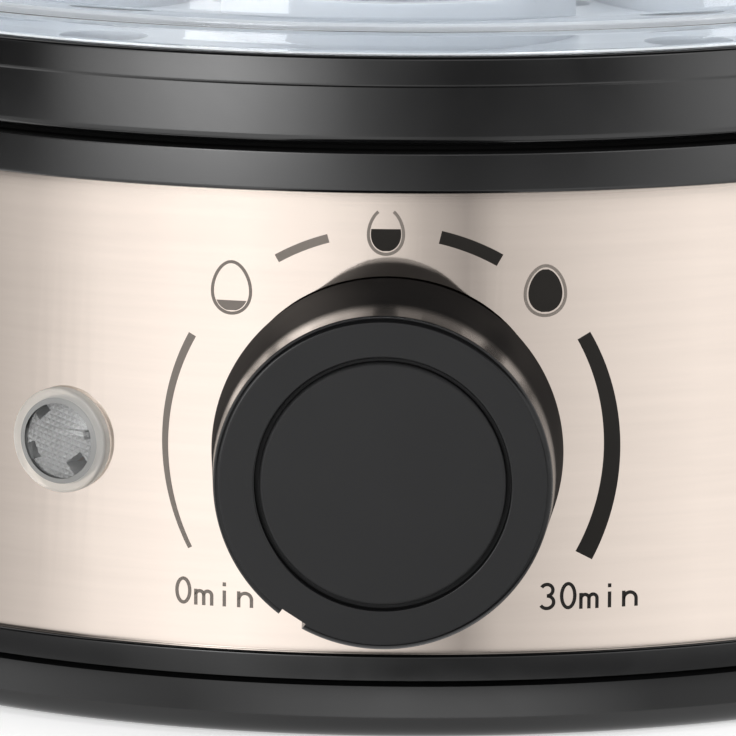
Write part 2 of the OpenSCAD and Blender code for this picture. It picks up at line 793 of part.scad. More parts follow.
module timer_saddle() {
    color("#2a2a2b") difference() {
        intersection() {
            cylinder(r = slot_in, h = trim_z0);
            translate([-saddle_w / 2, -band_r, knob_z - saddle_w / 2])
                cube([saddle_w, band_r - plate_z1, saddle_w]);
        }
        band_hole(front, knob_z, shaft_hole_r);
        for (side = [-1, 1]) band_hole(front, knob_z, timer_screw_r + fit_gap, side * timer_screw_pitch / 2);
    }
}

module timer_plate() {
    cut = plate_t + 2 * eps;
    color("#b4b6b8") difference() {
        radial(front, knob_z) translate([-timer_w / 2, -timer_w / 2, plate_z0])
            cube([timer_w, timer_w, plate_t]);
        radial(front, knob_z) translate([0, 0, plate_z0 - eps]) {
            cylinder(r = shaft_r + run_gap, h = cut);
            arbor_place() cylinder(r = arbor_r + run_gap, h = cut);
        }
        timer_screw_places() translate([0, 0, plate_z0 - eps]) cylinder(r = timer_screw_r + fit_gap, h = cut);
    }
}

module timer_case() {
    inner = timer_w - 2 * timer_wall;
    cut = timer_wall + 2 * eps;
    color("#d9d6cc") radial(front, knob_z) difference() {
        translate([-timer_w / 2, -timer_w / 2, case_z0]) cube([timer_w, timer_w, timer_d]);
        translate([-inner / 2, -inner / 2, case_floor]) cube([inner, inner, timer_d]);
        translate([0, 0, case_z0 - eps]) {
            cylinder(r = pivot_r + run_gap, h = cut);
            arbor_place() cylinder(r = arbor_r + run_gap, h = cut);
        }
        for (side = [-1, 1]) translate([side * blade_at, -blade_at, case_z0 + timer_wall / 2])
            cube([blade_w + 2 * fit_gap, blade_t + 2 * fit_gap, cut], center = true);
    }
}

module timer_screws() {
    seat = sqrt(pow(band_r, 2) - pow(timer_screw_pitch / 2 - timer_head_r, 2)) + fit_gap / 2;
    color("silver") timer_screw_places() translate([0, 0, seat]) rotate([180, 0, 0])
        screw(timer_screw_r, seat - plate_z0, timer_head_r, timer_head_h);
}

// Gear teeth: points on an involute at a roll angle, in degrees, from its base circle
function involute(base, roll) =
    base * [cos(roll) + roll * PI / 180 * sin(roll), sin(roll) - roll * PI / 180 * cos(roll)];
function roll_at(base, r) = sqrt(pow(r / base, 2) - 1) * 180 / PI;
function polar_angle(p) = atan2(p[1], p[0]);
function turned(p, a) = [p[0] * cos(a) - p[1] * sin(a), p[0] * sin(a) + p[1] * cos(a)];

// Outline of a spur gear with stub teeth thinned by the play, one tooth on the +X axis
module gear_outline(teeth) {
    flank_steps = 4;
    pitch_r = gear_module * teeth / 2;
    base_r = pitch_r * cos(20);
    tip_r = pitch_r + 0.8 * gear_module;
    root_r = pitch_r - 1.1 * gear_module;
    first = max(base_r, root_r);
    play = gear_play / 2 / pitch_r * 180 / PI;
    half = 90 / teeth - play + polar_angle(involute(base_r, roll_at(base_r, pitch_r)));
    flank = [for (i = [0:flank_steps]) let (r = first + (tip_r - first) * i / flank_steps)
        turned(involute(base_r, roll_at(base_r, r)), -half)];
    side = concat([turned([root_r, 0], polar_angle(flank[0]))], flank);
    tooth = concat(side, [for (i = [len(side) - 1:-1:0]) [side[i][0], -side[i][1]]]);
    polygon([for (k = [0:teeth - 1]) for (p = tooth) turned(p, 360 * k / teeth)]);
}

module timer_shaft() {
    color("#a8abae") radial(front, knob_z) {
        translate([0, 0, case_z0]) cylinder(r = pivot_r, h = shaft_z0 - case_z0 + eps);
        difference() {
            translate([0, 0, shaft_z0]) cylinder(r = shaft_r, h = shaft_z1 - shaft_z0);
            translate([-shaft_r, shaft_r - shaft_flat, hub_z0]) cube([2 * shaft_r, shaft_r, knob_l]);
        }
    }
}

module main_wheel() {
    color("#c9a85a") radial(front, knob_z) translate([0, 0, wheel_z]) difference() {
        linear_extrude(wheel_t) rotate(arbor_angle) gear_outline(wheel_teeth);
        translate([0, 0, -eps]) cylinder(r = shaft_r + fit_gap / 2, h = wheel_t + 2 * eps);
    }
}

module switch_cam() {
    color("#efe9dc") radial(front, knob_z) translate([0, 0, cam_z]) difference() {
        cylinder(r = cam_r, h = cam_t);
        translate([0, 0, -eps]) {
            cylinder(r = shaft_r + fit_gap / 2, h = cam_t + 2 * eps);
            translate([-cam_r - cam_dip / 2, 0, 0]) cylinder(r = 1.5 * cam_dip, h = cam_t + 2 * eps);
        }
    }
}

module mainspring_barrel() {
    color("#7f868c") radial(front, knob_z) translate([0, 0, case_floor])
        pipe(spring_r, pivot_r + fit_gap, spring_h);
}

module escape_arbor() {
    escape_step = 360 / escape_teeth;
    color("#c9a85a") radial(front, knob_z) arbor_place() {
        translate([0, 0, case_z0]) cylinder(r = arbor_r, h = plate_z1 - case_z0);
        translate([0, 0, wheel_z - fit_gap]) linear_extrude(wheel_t + 2 * fit_gap)
            rotate(180 + 180 / pinion_teeth) gear_outline(pinion_teeth);
        translate([0, 0, escape_z]) linear_extrude(escape_t) polygon([for (k = [0:escape_teeth - 1])
            for (p = [[escape_r, 0], [escape_r - escape_tooth, 0.4]])
                turned([p[0], 0], (k + p[1]) * escape_step)]);
    }
}

module contact_block() {
    color("#6b4a32") radial(front, knob_z)
        translate([-timer_w / 2 + timer_wall, -timer_w / 2 + timer_wall, case_floor])
        cube([timer_w / 2 - timer_wall - leaf_x + leaf_t, contact_h, cam_z + cam_t - case_floor]);
}

module contact_leaves() {
    foot = timer_w / 2 - timer_wall - contact_h;
    color("#c88b4a") radial(front, knob_z) for (i = [0, 1])
        translate([-leaf_x - leaf_t - i * contact_pitch, -foot, cam_z + cam_t / 4])
        cube([leaf_t, foot + cam_dip, cam_t / 2]);
}

module timer_blades() {
    color("#d8c070") radial(front, knob_z) for (side = [-1, 1])
        translate([side * blade_at - blade_w / 2, -blade_at - blade_t / 2, case_z0 - blade_out])
        cube([blade_w, blade_t, blade_out + timer_wall]);
}

module timer_bell() {
    corner = [bell_r - bell_round, bell_gap + bell_round];
    color("#c4c7ca") radial(front, knob_z) translate([0, 0, case_z0]) mirror([0, 0, 1]) rotate_extrude()
        polygon(concat(
            [[rivet_r + fit_gap, bell_gap]],
            arc(corner, bell_round, -90, 0),
            [[bell_r, bell_gap + bell_d], [bell_r - bell_t, bell_gap + bell_d]],
            arc(corner, bell_round - bell_t, 0, -90),
            [[rivet_r + fit_gap, bell_gap + bell_t]]));
}

module bell_rivet() {
    head = 1.2;
    color("silver") radial(front, knob_z) translate([0, 0, case_z0]) mirror([0, 0, 1])
        rotate_extrude() polygon([
        [pivot_r + fit_gap, 0],
        [rivet_r + head, 0],
        [rivet_r + head, bell_gap],
        [rivet_r, bell_gap],
        [rivet_r, bell_gap + bell_t + fit_gap],
        [rivet_r + head, bell_gap + bell_t + fit_gap],
        [rivet_r, bell_gap + bell_t + fit_gap + head],
        [0, bell_gap + bell_t + fit_gap + head],
        [0, bell_gap / 2],
        [pivot_r + fit_gap, bell_gap / 2]]);
}

module timer_knob() {
    bore_r = shaft_r + fit_gap / 2;
    color("#262627") radial(front, knob_z) difference() {
        union() {
            difference() {
                rotate_extrude() polygon(concat(
                    [[0, knob_z0], [knob_r + knob_draft, knob_z0]],
                    arc([knob_r - knob_round, knob_z1 - knob_round], knob_round, 0, 90),
                    [[0, knob_z1]]));
                translate([0, 0, knob_z0 - eps]) cylinder(r = knob_r - knob_wall, h = hub_z1 - knob_z0 + eps);
            }
            translate([0, 0, hub_z0]) cylinder(r = shaft_r + hub_wall, h = hub_l + eps);
        }
        translate([0, 0, knob_z1 - cap_t]) cylinder(r = cap_r + fit_gap / 2, h = cap_t + eps);
        translate([0, 0, knob_z1 - cap_groove_d]) cylinder(r = cap_r + cap_groove_w, h = cap_groove_d + eps);
        difference() {
            translate([0, 0, hub_z0 - eps]) cylinder(r = bore_r, h = shaft_z1 - hub_z0 + fit_gap);
            translate([-shaft_r, bore_r - shaft_flat, hub_z0 + eps]) cube([2 * shaft_r, shaft_r, knob_l]);
        }
        rotate([0, 0, -notch_angle]) translate([-notch_w / 2, -2 * knob_r + notch_d, knob_z0 - eps])
            cube([notch_w, knob_r, knob_l + 2 * eps]);
    }
}

module knob_cap() {
    color("#2b2b2c") radial(front, knob_z) translate([0, 0, knob_z1 - cap_t]) rotate_extrude() polygon([
        [0, 0],
        [cap_r, 0],
        [cap_r, cap_t - cap_bevel],
        [cap_r - cap_bevel, cap_t],
        [0, cap_t]]);
}

module lamp_lens() {
    dome_r = (pow(lamp_body_r, 2) + pow(lamp_dome, 2)) / (2 * lamp_dome);
    dome_z = band_r + lamp_rim_t + lamp_dome - dome_r;
    sweep = asin(lamp_body_r / dome_r);
    color("#dfe6ea") radial(-lamp_angle, lamp_z) rotate_extrude() polygon(concat(
        [[lamp_inner_r, lamp_z0],
         [lamp_body_r, lamp_z0],
         [lamp_body_r, band_r],
         [lamp_r, band_r],
         [lamp_r, band_r + lamp_rim_t - lamp_bevel],
         [lamp_r - lamp_bevel, band_r + lamp_rim_t]],
        arc([0, dome_z], dome_r, 90 - sweep, 90),
        [[0, band_r], [lamp_inner_r, band_r]]));
}

module lamp_reflector() {
    color("#9b9d9f") radial(-lamp_angle, lamp_z) difference() {
        translate([0, 0, band_r - reflector_l])
            cylinder(r = lamp_inner_r - fit_gap, h = reflector_l - fit_gap);
        translate([0, 0, band_r - reflector_l - eps])
            cylinder(r = bulb_r + fit_gap, h = reflector_l - fit_gap - reflector_t);
    }
}

module lamp_bulb() {
    bulb_l = band_r - fit_gap - 2 * reflector_t - lamp_z0;
    color("#f2b48c") radial(-lamp_angle, lamp_z) {
        translate([0, 0, lamp_z0]) cylinder(r = bulb_r, h = bulb_l);
        for (side = [-1, 1]) translate([side * bulb_wire_pitch / 2, 0, lamp_z0 - bulb_wire])
            cylinder(r = bulb_wire_r, h = bulb_wire + eps);
    }
}

module lamp_clip() {
    clip_out = lamp_body_r + lamp_clip_w;
    seat = sqrt(pow(band_in, 2) - pow(clip_out, 2)) - fit_gap;
    color("silver") radial(-lamp_angle, lamp_z) translate([0, 0, seat - lamp_clip_t])
        pipe(clip_out, lamp_body_r + fit_gap, lamp_clip_t);
}

module cord_gland() {
    mouth_z = band_r + gland_flange_t + gland_nose;
    color("#202021") radial(rear, gland_z) rotate_extrude() polygon([
        [gland_bore_r, band_in - gland_in],
        [gland_r, band_in - gland_in],
        [gland_r, band_r],
        [gland_flange_r, band_r],
        [gland_flange_r, band_r + gland_flange_t],
        [gland_r, band_r + gland_flange_t],
        [gland_bore_r + gland_nose_wall, mouth_z],
        [gland_bore_r, mouth_z]]);
}

module gland_nut() {
    seat = sqrt(pow(band_in, 2) - pow(gland_nut_w / 2, 2)) - fit_gap;
    color("#2c2c2d") radial(rear, gland_z) translate([0, 0, seat - gland_nut_t]) difference() {
        cylinder(d = gland_nut_w, h = gland_nut_t, $fn = 6);
        translate([0, 0, -eps]) cylinder(r = gland_r + fit_gap / 2, h = gland_nut_t + 2 * eps);
    }
}

module terminal_block() {
    color("#e4e0d4") difference() {
        translate([-block_w / 2, block_at - block_d / 2, floor_top]) cube([block_w, block_d, block_h]);
        for (i = [-1:1]) translate([i * block_pitch, block_at, floor_top + block_h - block_screw_l])
            cylinder(r = block_screw_r + fit_gap, h = block_screw_l + eps);
    }
}

module terminal_screws() {
    screw_z = floor_top + block_h - block_screw_l;
    color("#d8c070") for (i = [-1:1]) translate([i * block_pitch, block_at, screw_z])
        cylinder(r = block_screw_r, h = block_screw_l - 1);
}

// Leads: a round tube swept along a smooth path through points
lead_sides = 8;
lead_spans = 3;
function unit(v) = v / norm(v);
function along(p, i, t) = let (a = p[max(i - 1, 0)], b = p[i], c = p[i + 1], d = p[min(i + 2, len(p) - 1)])
    (2 * b + (c - a) * t + (2 * a - 5 * b + 4 * c - d) * t * t + (3 * b - a - 3 * c + d) * t * t * t) / 2;
function smooth(p) = concat(
    [for (i = [0:len(p) - 2]) for (k = [0:lead_spans - 1]) along(p, i, k / lead_spans)], [p[len(p) - 1]]);
function headings(p, first, last) = concat(
    [first], [for (i = [1:len(p) - 2]) unit(p[i + 1] - p[i - 1])], [last]);
function carry(t, n, i = 1) = i == len(t) ? n
    : carry(t, concat(n, [unit(n[i - 1] - (n[i - 1] * t[i]) * t[i])]), i + 1);

module lead(points, r) {
    path = smooth(points);
    end = len(points) - 1;
    t = headings(path, unit(points[1] - points[0]), unit(points[end] - points[end - 1]));
    n = carry(t, [unit(cross(t[0], [0.3, 0.5, 0.8]))]);
    last = len(path) - 1;
    rings = [for (i = [0:last]) for (k = [0:lead_sides - 1]) let (a = 360 * k / lead_sides)
        path[i] + r * (cos(a) * n[i] + sin(a) * cross(t[i], n[i]))];
    polyhedron(rings, concat(
        [for (i = [0:last - 1]) for (k = [0:lead_sides - 1])
            let (a = i * lead_sides, b = (k + 1) % lead_sides)
            [a + k, a + lead_sides + k, a + lead_sides + b]],
        [for (i = [0:last - 1]) for (k = [0:lead_sides - 1])
            let (a = i * lead_sides, b = (k + 1) % lead_sides)
            [a + k, a + lead_sides + b, a + b]],
        [for (k = [1:lead_sides - 2]) [0, k, k + 1]],
        [for (k = [1:lead_sides - 2]) let (a = last * lead_sides) [a, a + k + 1, a + k]]));
}

// Ends of the leads at the block, the timer, the thermostat, the fuse, the element, a dish clip and the lamp
block_port = [0, block_at - block_d / 2 - fit_gap, floor_top + 4];
blade_end = radial_point(front, knob_z, blade_at, -blade_at, case_z0 - blade_out - fit_gap);
tab_end = [thermostat_r + thermostat_tab + fit_gap, 0, tab_z];
fuse_end = [fuse_l / 2 + fit_gap, fuse_y, fuse_z];
pin_end = [element_at * cos(element_angles[0]), element_at * sin(element_angles[0]), pin_end_z - fit_gap];
clip_mid_r = dish_r + (clip_t + fit_gap / 2) / 2;
earth_end = [clip_mid_r * cos(clip_angles[0]), clip_mid_r * sin(clip_angles[0]),
    ring_under_z - clip_drop - fit_gap];
lamp_end = lamp_z0 - bulb_wire - fit_gap;
function mirrored(p) = [-p[0], p[1], p[2]];
function under_dish(x, y, drop) = [x, y, dish_under_z - drop];
function over_floor(x, y, rise) = [x, y, floor_top + rise];

module live_lead() {
    color("#7a4a2a") lead([
        block_port - [block_pitch, 0, 0],
        block_port - [block_pitch, 6, 0],
        over_floor(-13, 18, 2.5),
        over_floor(-14, -20, 2.5),
        over_floor(-14, -36, 9.5),
        mirrored(blade_end) + [0, 5, 0],
        mirrored(blade_end)], lead_r);
}

module switched_lead() {
    color("#7a4a2a") lead([
        blade_end,
        blade_end + [0, 6, 0],
        under_dish(17, -24, 32),
        under_dish(22, -8, 20),
        under_dish(24, -2, 11),
        tab_end + [5, 0, 0],
        tab_end], lead_r);
}

module fuse_leads() {
    color("#c9c6bc") {
        lead([
            mirrored(tab_end),
            mirrored(tab_end) - [5, 0, 0],
            under_dish(-23, -10, 10),
            under_dish(-18, -20, 7),
            mirrored(fuse_end) - [4, 0, 0],
            mirrored(fuse_end)], lead_r);
        lead([
            fuse_end,
            fuse_end + [4, 0, 0],
            under_dish(20, -20, 12),
            under_dish(28, -4, 22),
            under_dish(26, 18, 28),
            pin_end - [0, 0, 5],
            pin_end], lead_r);
    }
}

module neutral_lead() {
    color("#3b5f8a") lead([
        mirrored(pin_end),
        mirrored(pin_end) - [0, 0, 6],
        over_floor(-14, 34, 13.5),
        over_floor(-3, 36, 5.5),
        block_port - [0, 4, 0],
        block_port], lead_r);
}

module earth_lead() {
    color("#8fa23a") lead([
        block_port + [block_pitch, 0, 0],
        block_port + [block_pitch, -6, 0],
        over_floor(16, 38, 13.5),
        under_dish(26, 46, 22),
        earth_end - [0, 0, 7],
        earth_end], lead_r);
}

module lamp_leads() {
    wire = bulb_wire_pitch / 2;
    near = radial_point(-lamp_angle, lamp_z, wire, 0, lamp_end);
    far = radial_point(-lamp_angle, lamp_z, -wire, 0, lamp_end);
    inward = radial_point(-lamp_angle, 0, 0, 0, -5);
    under_blade = blade_end - [0, 4, blade_t / 2 + fit_gap];
    block_side = [-block_w / 2 - fit_gap, block_at, block_port[2]];
    color("#b8b4aa") {
        lead([
            near,
            near + inward,
            over_floor(-18, -46, 11.5),
            over_floor(0, -46, 4.5),
            over_floor(11, -50, 4.5),
            under_blade - [0, 0, 5],
            under_blade], lamp_lead_r);
        lead([
            far,
            far + inward,
            over_floor(-27, -42, 13.5),
            over_floor(-24, -10, 2.5),
            over_floor(-24, 30, 2.5),
            block_side - [7, 0, 0],
            block_side], lamp_lead_r);
    }
}

module lid() {
    flange_r = ring_edge_r - flange_in;
    shoulder = [crown_r, lid_shoulder_z];
    fillet = lid_t / 2;
    color("#e4ecf1", 0.4) difference() {
        rotate_extrude() polygon(concat(
            [[lid_in_r, lid_lip_z], [rack_r, lid_lip_z], [rack_r, seat_z]],
            arc([flange_r - flange_round, seat_z + flange_round], flange_round, -90, 0),
            arc([flange_r - flange_round, lid_foot_z - flange_round], flange_round, 0, 90),
            arc([lid_out_r + fillet, lid_foot_z + fillet], fillet, 270, 180),
            arc(shoulder, shoulder_r, 0, 90 - crown_slope),
            [[lid_foot_r, lid_top_z], [0, lid_top_z], [0, lid_under_z], [lid_foot_r, lid_under_z]],
            arc(shoulder, shoulder_r - lid_t, 90 - crown_slope, 0),
            [[lid_in_r, lid_foot_z]]));
        translate([0, 0, lid_shoulder_z]) {
            cylinder(r = lid_screw_r + fit_gap, h = lid_wall_h);
            around(steam_angles, steam_at) cylinder(r = steam_r, h = lid_wall_h);
        }
    }
}

module lid_knob() {
    neck_h = lid_knob_h - lid_foot_t - 2 * lid_knob_edge;
    color("#242425") translate([0, 0, lid_top_z]) difference() {
        rotate_extrude() polygon(concat(
            [[0, 0], [lid_foot_r, 0], [lid_foot_r, lid_foot_t]],
            [for (i = [0:steps]) [lid_neck_r + (lid_foot_r - 1 - lid_neck_r) * pow(1 - i / steps, 2),
                lid_foot_t + neck_h * i / steps]],
            arc([lid_knob_r - lid_knob_edge, lid_knob_h - lid_knob_edge], lid_knob_edge, -90, 90),
            [[0, lid_knob_h + lid_knob_rise]]));
        translate([0, 0, -eps]) cylinder(r = lid_screw_r + fit_gap, h = lid_grip + 1);
    }
}

module lid_washer() {
    color("#d0d0cc") translate([0, 0, lid_under_z - washer_t])
        pipe(washer_r, lid_screw_r + fit_gap, washer_t);
}

module lid_screw() {
    seat = lid_under_z - washer_t;
    color("silver") translate([0, 0, seat])
        screw(lid_screw_r, lid_top_z - seat + lid_grip, lid_head_r, lid_head_h);
}

module egg_rack() {
    seats = concat([[0, 0]], [for (a = egg_angles) egg_at * [cos(a), sin(a)]]);
    color("#dfe4e6", 0.6) translate([0, 0, ledge_z]) difference() {
        union() {
            cylinder(r = rack_r, h = rack_t);
            for (s = seats) translate(s) cylinder(r = egg_r + collar_t, h = rack_t + collar_h);
            around(tab_angles, tab_at) translate([-tab_t / 2, -tab_w / 2, 0]) cube([tab_t, tab_w, tab_h]);
        }
        translate([0, 0, -eps]) {
            for (s = seats) translate(s) cylinder(r = egg_r, h = tab_h);
            around([0:60:300], rack_hole_at) cylinder(r = rack_hole_r, h = rack_t + 2 * eps);
            around(port_angles, tab_at - rack_port_r) cylinder(r = rack_port_r, h = rack_t + 2 * eps);
        }
        around(tab_angles, tab_at) translate([-tab_t, -grip_w / 2, tab_h - grip_bar - grip_h])
            cube([2 * tab_t, grip_w, grip_h]);
    }
}

base_shell();
rubber_feet();
case_screws();
steel_band();
trim_ring();
boiler_ring();
dish_seal();
boiler_dish();
dish_clips();
clip_screws();
heat_spreader();
heating_element();
thermostat();
thermal_fuse();
fuse_clip();
timer_saddle();
timer_plate();
timer_case();
timer_screws();
timer_shaft();
main_wheel();
switch_cam();
mainspring_barrel();
escape_arbor();
contact_block();
contact_leaves();
timer_blades();
timer_bell();
bell_rivet();
timer_knob();
knob_cap();
lamp_lens();
lamp_reflector();
lamp_bulb();
lamp_clip();
cord_gland();
gland_nut();
terminal_block();
terminal_screws();
live_lead();
switched_lead();
fuse_leads();
neutral_lead();
earth_lead();
lamp_leads();
lid();
lid_knob();
lid_washer();
lid_screw();
egg_rack();
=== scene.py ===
"""Looks of the electric egg cooker: meshes, finishes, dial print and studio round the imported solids."""

import json
import logging
import math
from dataclasses import dataclass, field
from enum import Enum
from typing import Callable, Iterable, Mapping, Sequence

import bmesh
import bpy
from mathutils import Matrix, Vector


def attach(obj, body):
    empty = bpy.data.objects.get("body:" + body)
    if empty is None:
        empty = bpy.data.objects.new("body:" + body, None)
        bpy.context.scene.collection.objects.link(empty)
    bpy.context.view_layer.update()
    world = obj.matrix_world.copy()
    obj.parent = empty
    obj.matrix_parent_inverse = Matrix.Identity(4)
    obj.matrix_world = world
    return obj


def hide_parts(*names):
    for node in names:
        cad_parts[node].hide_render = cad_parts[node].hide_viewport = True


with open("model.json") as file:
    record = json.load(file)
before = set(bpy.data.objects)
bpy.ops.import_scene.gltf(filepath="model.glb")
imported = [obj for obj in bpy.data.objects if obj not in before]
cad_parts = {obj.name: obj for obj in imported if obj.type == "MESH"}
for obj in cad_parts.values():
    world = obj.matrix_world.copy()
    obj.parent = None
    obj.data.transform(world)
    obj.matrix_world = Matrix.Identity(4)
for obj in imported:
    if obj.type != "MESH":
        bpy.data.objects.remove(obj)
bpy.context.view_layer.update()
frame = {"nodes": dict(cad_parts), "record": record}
LOG = logging.getLogger("egg_cooker")

# Lengths are in millimetres, and become metres where Blender gets them
MM = 0.001
ROUND = 288
SMALL_ROUND = 96
CRISP_ANGLE = 20.0

# Places that several pieces share: the band's wall, the dial, the lamp and the case screws
WALL_R = 85.0
DIAL_Z = 33.6
LAMP_ANGLE = -26.1
LAMP_Z = 32.8
SCREW_AT = 75.5
SCREW_ANGLES = (25.0, 155.0, 205.0, 335.0)

# A Point is a place in a section or a print, or a pair of bounds, sizes or shares
Point = tuple[float, float]
Place = tuple[float, float, float]
Colour = tuple[float, float, float]
Tree = bpy.types.NodeTree
Socket = bpy.types.NodeSocket
Piece = bpy.types.Object
Side = bpy.types.MeshPolygon


class Body(Enum):
    """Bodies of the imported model."""

    BASE = "base"
    KNOB = "knob"
    LID = "lid"


class Slot(Enum):
    """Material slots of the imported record."""

    BLACK_SHELL = "black_shell"
    KNOB_BLACK = "knob_black"
    KNOB_FACE = "knob_face"
    CHAMPAGNE_STEEL = "champagne_steel"
    CLEAR_PLASTIC = "clear_plastic"
    MILKY_PLASTIC = "milky_plastic"
    FOOT_RUBBER = "foot_rubber"
    SILICONE = "silicone"
    DISH_STEEL = "dish_steel"
    PLATED_STEEL = "plated_steel"
    PLATE_ALUMINIUM = "plate_aluminium"
    ELEMENT_STEEL = "element_steel"
    BRASS_PARTS = "brass_parts"
    BLACK_NYLON = "black_nylon"
    BROWN_PHENOLIC = "brown_phenolic"
    CREAM_PLASTIC = "cream_plastic"
    FUSE_BODY = "fuse_body"
    LAMP_INSERT = "lamp_insert"
    BULB_GLASS = "bulb_glass"
    LIVE_INSULATION = "live_insulation"
    NEUTRAL_INSULATION = "neutral_insulation"
    EARTH_INSULATION = "earth_insulation"
    SLEEVE_INSULATION = "sleeve_insulation"


class Cut(Enum):
    """Ways to combine a piece with tools."""

    AWAY = "DIFFERENCE"
    JOIN = "UNION"


class Brush(Enum):
    """How a metal surface was worked: the noise's scale per metre round the axis and across the lines."""

    ROUND = (40.0, 5200.0)
    SPUN = (60.0, 2600.0)
    PLAIN = (900.0, 900.0)


# Node trees


def node(tree: Tree, kind: str, inputs: Mapping[str | int, object] | None = None,
         **settings: object) -> bpy.types.Node:
    """Adds a node to a tree.

    Args:
        tree: The node tree that gets the node.
        kind: The node's type.
        inputs: Values, or sockets to link, by input.
        settings: The node's own settings.

    Returns:
        The new node.
    """
    made = tree.nodes.new(kind)
    for key, value in settings.items():
        setattr(made, key, value)
    for key, value in (inputs or {}).items():
        if isinstance(value, Socket):
            tree.links.new(value, made.inputs[key])
        else:
            made.inputs[key].default_value = value
    return made


def math_node(tree: Tree, operation: str, first: object, second: object) -> Socket:
    """Adds an operation on two values or sockets and returns its result."""
    return node(tree, "ShaderNodeMath", {0: first, 1: second}, operation=operation).outputs[0]


def spread(tree: Tree, value: Socket, low: float, high: float) -> Socket:
    """Stretches a mask from 0 to 1 over a range of values and returns the result."""
    return node(tree, "ShaderNodeMapRange", {"Value": value, "To Min": low, "To Max": high}).outputs["Result"]


def tint(tree: Tree, mask: Socket, first: Colour, second: Colour) -> Socket:
    """Mixes two colours by a mask and returns the result."""
    mix = node(tree, "ShaderNodeMix", {"Factor": mask, "A": (*first, 1), "B": (*second, 1)}, data_type="RGBA")
    return mix.outputs["Result"]


def bumped(tree: Tree, height: Socket, depth: float, strength: float = 1.0) -> Socket:
    """Raises a surface by a mask, to a depth in millimetres, and returns its normal."""
    bump = node(tree, "ShaderNodeBump", {"Strength": strength, "Distance": depth * MM, "Height": height})
    return bump.outputs["Normal"]


def new_group(name: str, inputs: Mapping[str, float],
              outputs: Sequence[str]) -> tuple[Tree, bpy.types.Node, bpy.types.Node]:
    """Starts a shader node group.

    Args:
        name: The group's name.
        inputs: Its value inputs with their defaults.
        outputs: Its value outputs.

    Returns:
        The group's tree, its input node and its output node.
    """
    tree = bpy.data.node_groups.new(name, "ShaderNodeTree")
    for key, value in inputs.items():
        tree.interface.new_socket(key, in_out="INPUT", socket_type="NodeSocketFloat").default_value = value
    for key in outputs:
        tree.interface.new_socket(key, in_out="OUTPUT", socket_type="NodeSocketFloat")
    return tree, node(tree, "NodeGroupInput"), node(tree, "NodeGroupOutput")


def moulded_grain() -> Tree:
    """Fine texture of a moulded surface.

    Returns:
        A group with the input Size, per metre, and the outputs Height and Mottle.
    """
    tree, given, put = new_group("moulded_grain", {"Size": 2500.0}, ("Height", "Mottle"))
    at = node(tree, "ShaderNodeTexCoord").outputs["Object"]
    fine = node(tree, "ShaderNodeTexNoise", {"Vector": at, "Scale": given.outputs["Size"], "Detail": 2.0})
    coarse = math_node(tree, "MULTIPLY", given.outputs["Size"], 0.03)
    slow = node(tree, "ShaderNodeTexNoise", {"Vector": at, "Scale": coarse, "Detail": 3.0})
    tree.links.new(fine.outputs["Fac"], put.inputs["Height"])
    tree.links.new(slow.outputs["Fac"], put.inputs["Mottle"])
    return tree


def round_brushing() -> Tree:
    """Lines brushed round the body's axis on walls, and rings round it on level faces.

    Returns:
        A group with the inputs Around and Across, per metre, and the outputs Height and Streak.
    """
    tree, given, put = new_group("round_brushing", {"Around": 40.0, "Across": 5000.0}, ("Height", "Streak"))
    at = node(tree, "ShaderNodeSeparateXYZ", {0: node(tree, "ShaderNodeTexCoord").outputs["Object"]})
    flat = node(tree, "ShaderNodeCombineXYZ", {0: at.outputs["X"], 1: at.outputs["Y"]}).outputs[0]
    radius = node(tree, "ShaderNodeVectorMath", {0: flat}, operation="LENGTH").outputs["Value"]
    run = math_node(tree, "ADD", at.outputs["Z"], radius)
    for output, share, detail in (("Height", 1.0, 3.0), ("Streak", 0.14, 4.0)):
        across = math_node(tree, "MULTIPLY", math_node(tree, "MULTIPLY", run, given.outputs["Across"]), share)
        place = node(tree, "ShaderNodeCombineXYZ", {
            0: math_node(tree, "MULTIPLY", at.outputs["X"], given.outputs["Around"]),
            1: math_node(tree, "MULTIPLY", at.outputs["Y"], given.outputs["Around"]),
            2: across}).outputs[0]
        lines = node(tree, "ShaderNodeTexNoise", {"Vector": place, "Scale": 1.0, "Detail": detail})
        tree.links.new(lines.outputs["Fac"], put.inputs[output])
    return tree


def handling_marks() -> Tree:
    """Soft patches where a surface has been wiped and touched.

    Returns:
        A group with the input Size, per metre, and the output Mask, from 0 to 1.
    """
    tree, given, put = new_group("handling_marks", {"Size": 40.0}, ("Mask",))
    at = node(tree, "ShaderNodeTexCoord").outputs["Object"]
    patches = node(tree, "ShaderNodeTexNoise", {
        "Vector": at, "Scale": given.outputs["Size"], "Detail": 4.0, "Roughness": 0.6, "Distortion": 0.8})
    mask = node(tree, "ShaderNodeMapRange", {
        "Value": patches.outputs["Fac"], "From Min": 0.35, "From Max": 0.7}, interpolation_type="SMOOTHSTEP")
    tree.links.new(mask.outputs["Result"], put.inputs["Mask"])
    return tree


class Effects:
    """The shared node groups, each made once."""

    def __init__(self) -> None:
        """Makes the groups."""
        self.grain = moulded_grain()
        self.brushing = round_brushing()
        self.marks = handling_marks()

    @staticmethod
    def use(tree: Tree, group: Tree, **values: float) -> bpy.types.Node:
        """Places a group in a material.

        Args:
            tree: The material's tree.
            group: One of the shared groups.
            values: The group's inputs.

        Returns:
            The group's node.
        """
        return node(tree, "ShaderNodeGroup", values, node_tree=group)


EFFECTS = Effects()


def bare_material(name: str) -> bpy.types.Material:
    """Makes a material with an empty node tree.

    Args:
        name: The material's name.

    Returns:
        The new material.
    """
    made = bpy.data.materials.new(name)
    made.use_nodes = True
    made.node_tree.nodes.clear()
    return made


def show(tree: Tree, shader: bpy.types.Node, output: str = "ShaderNodeOutputMaterial") -> None:
    """Links a shader to a tree's output."""
    node(tree, output, {"Surface": shader.outputs[0]})


# Finishes


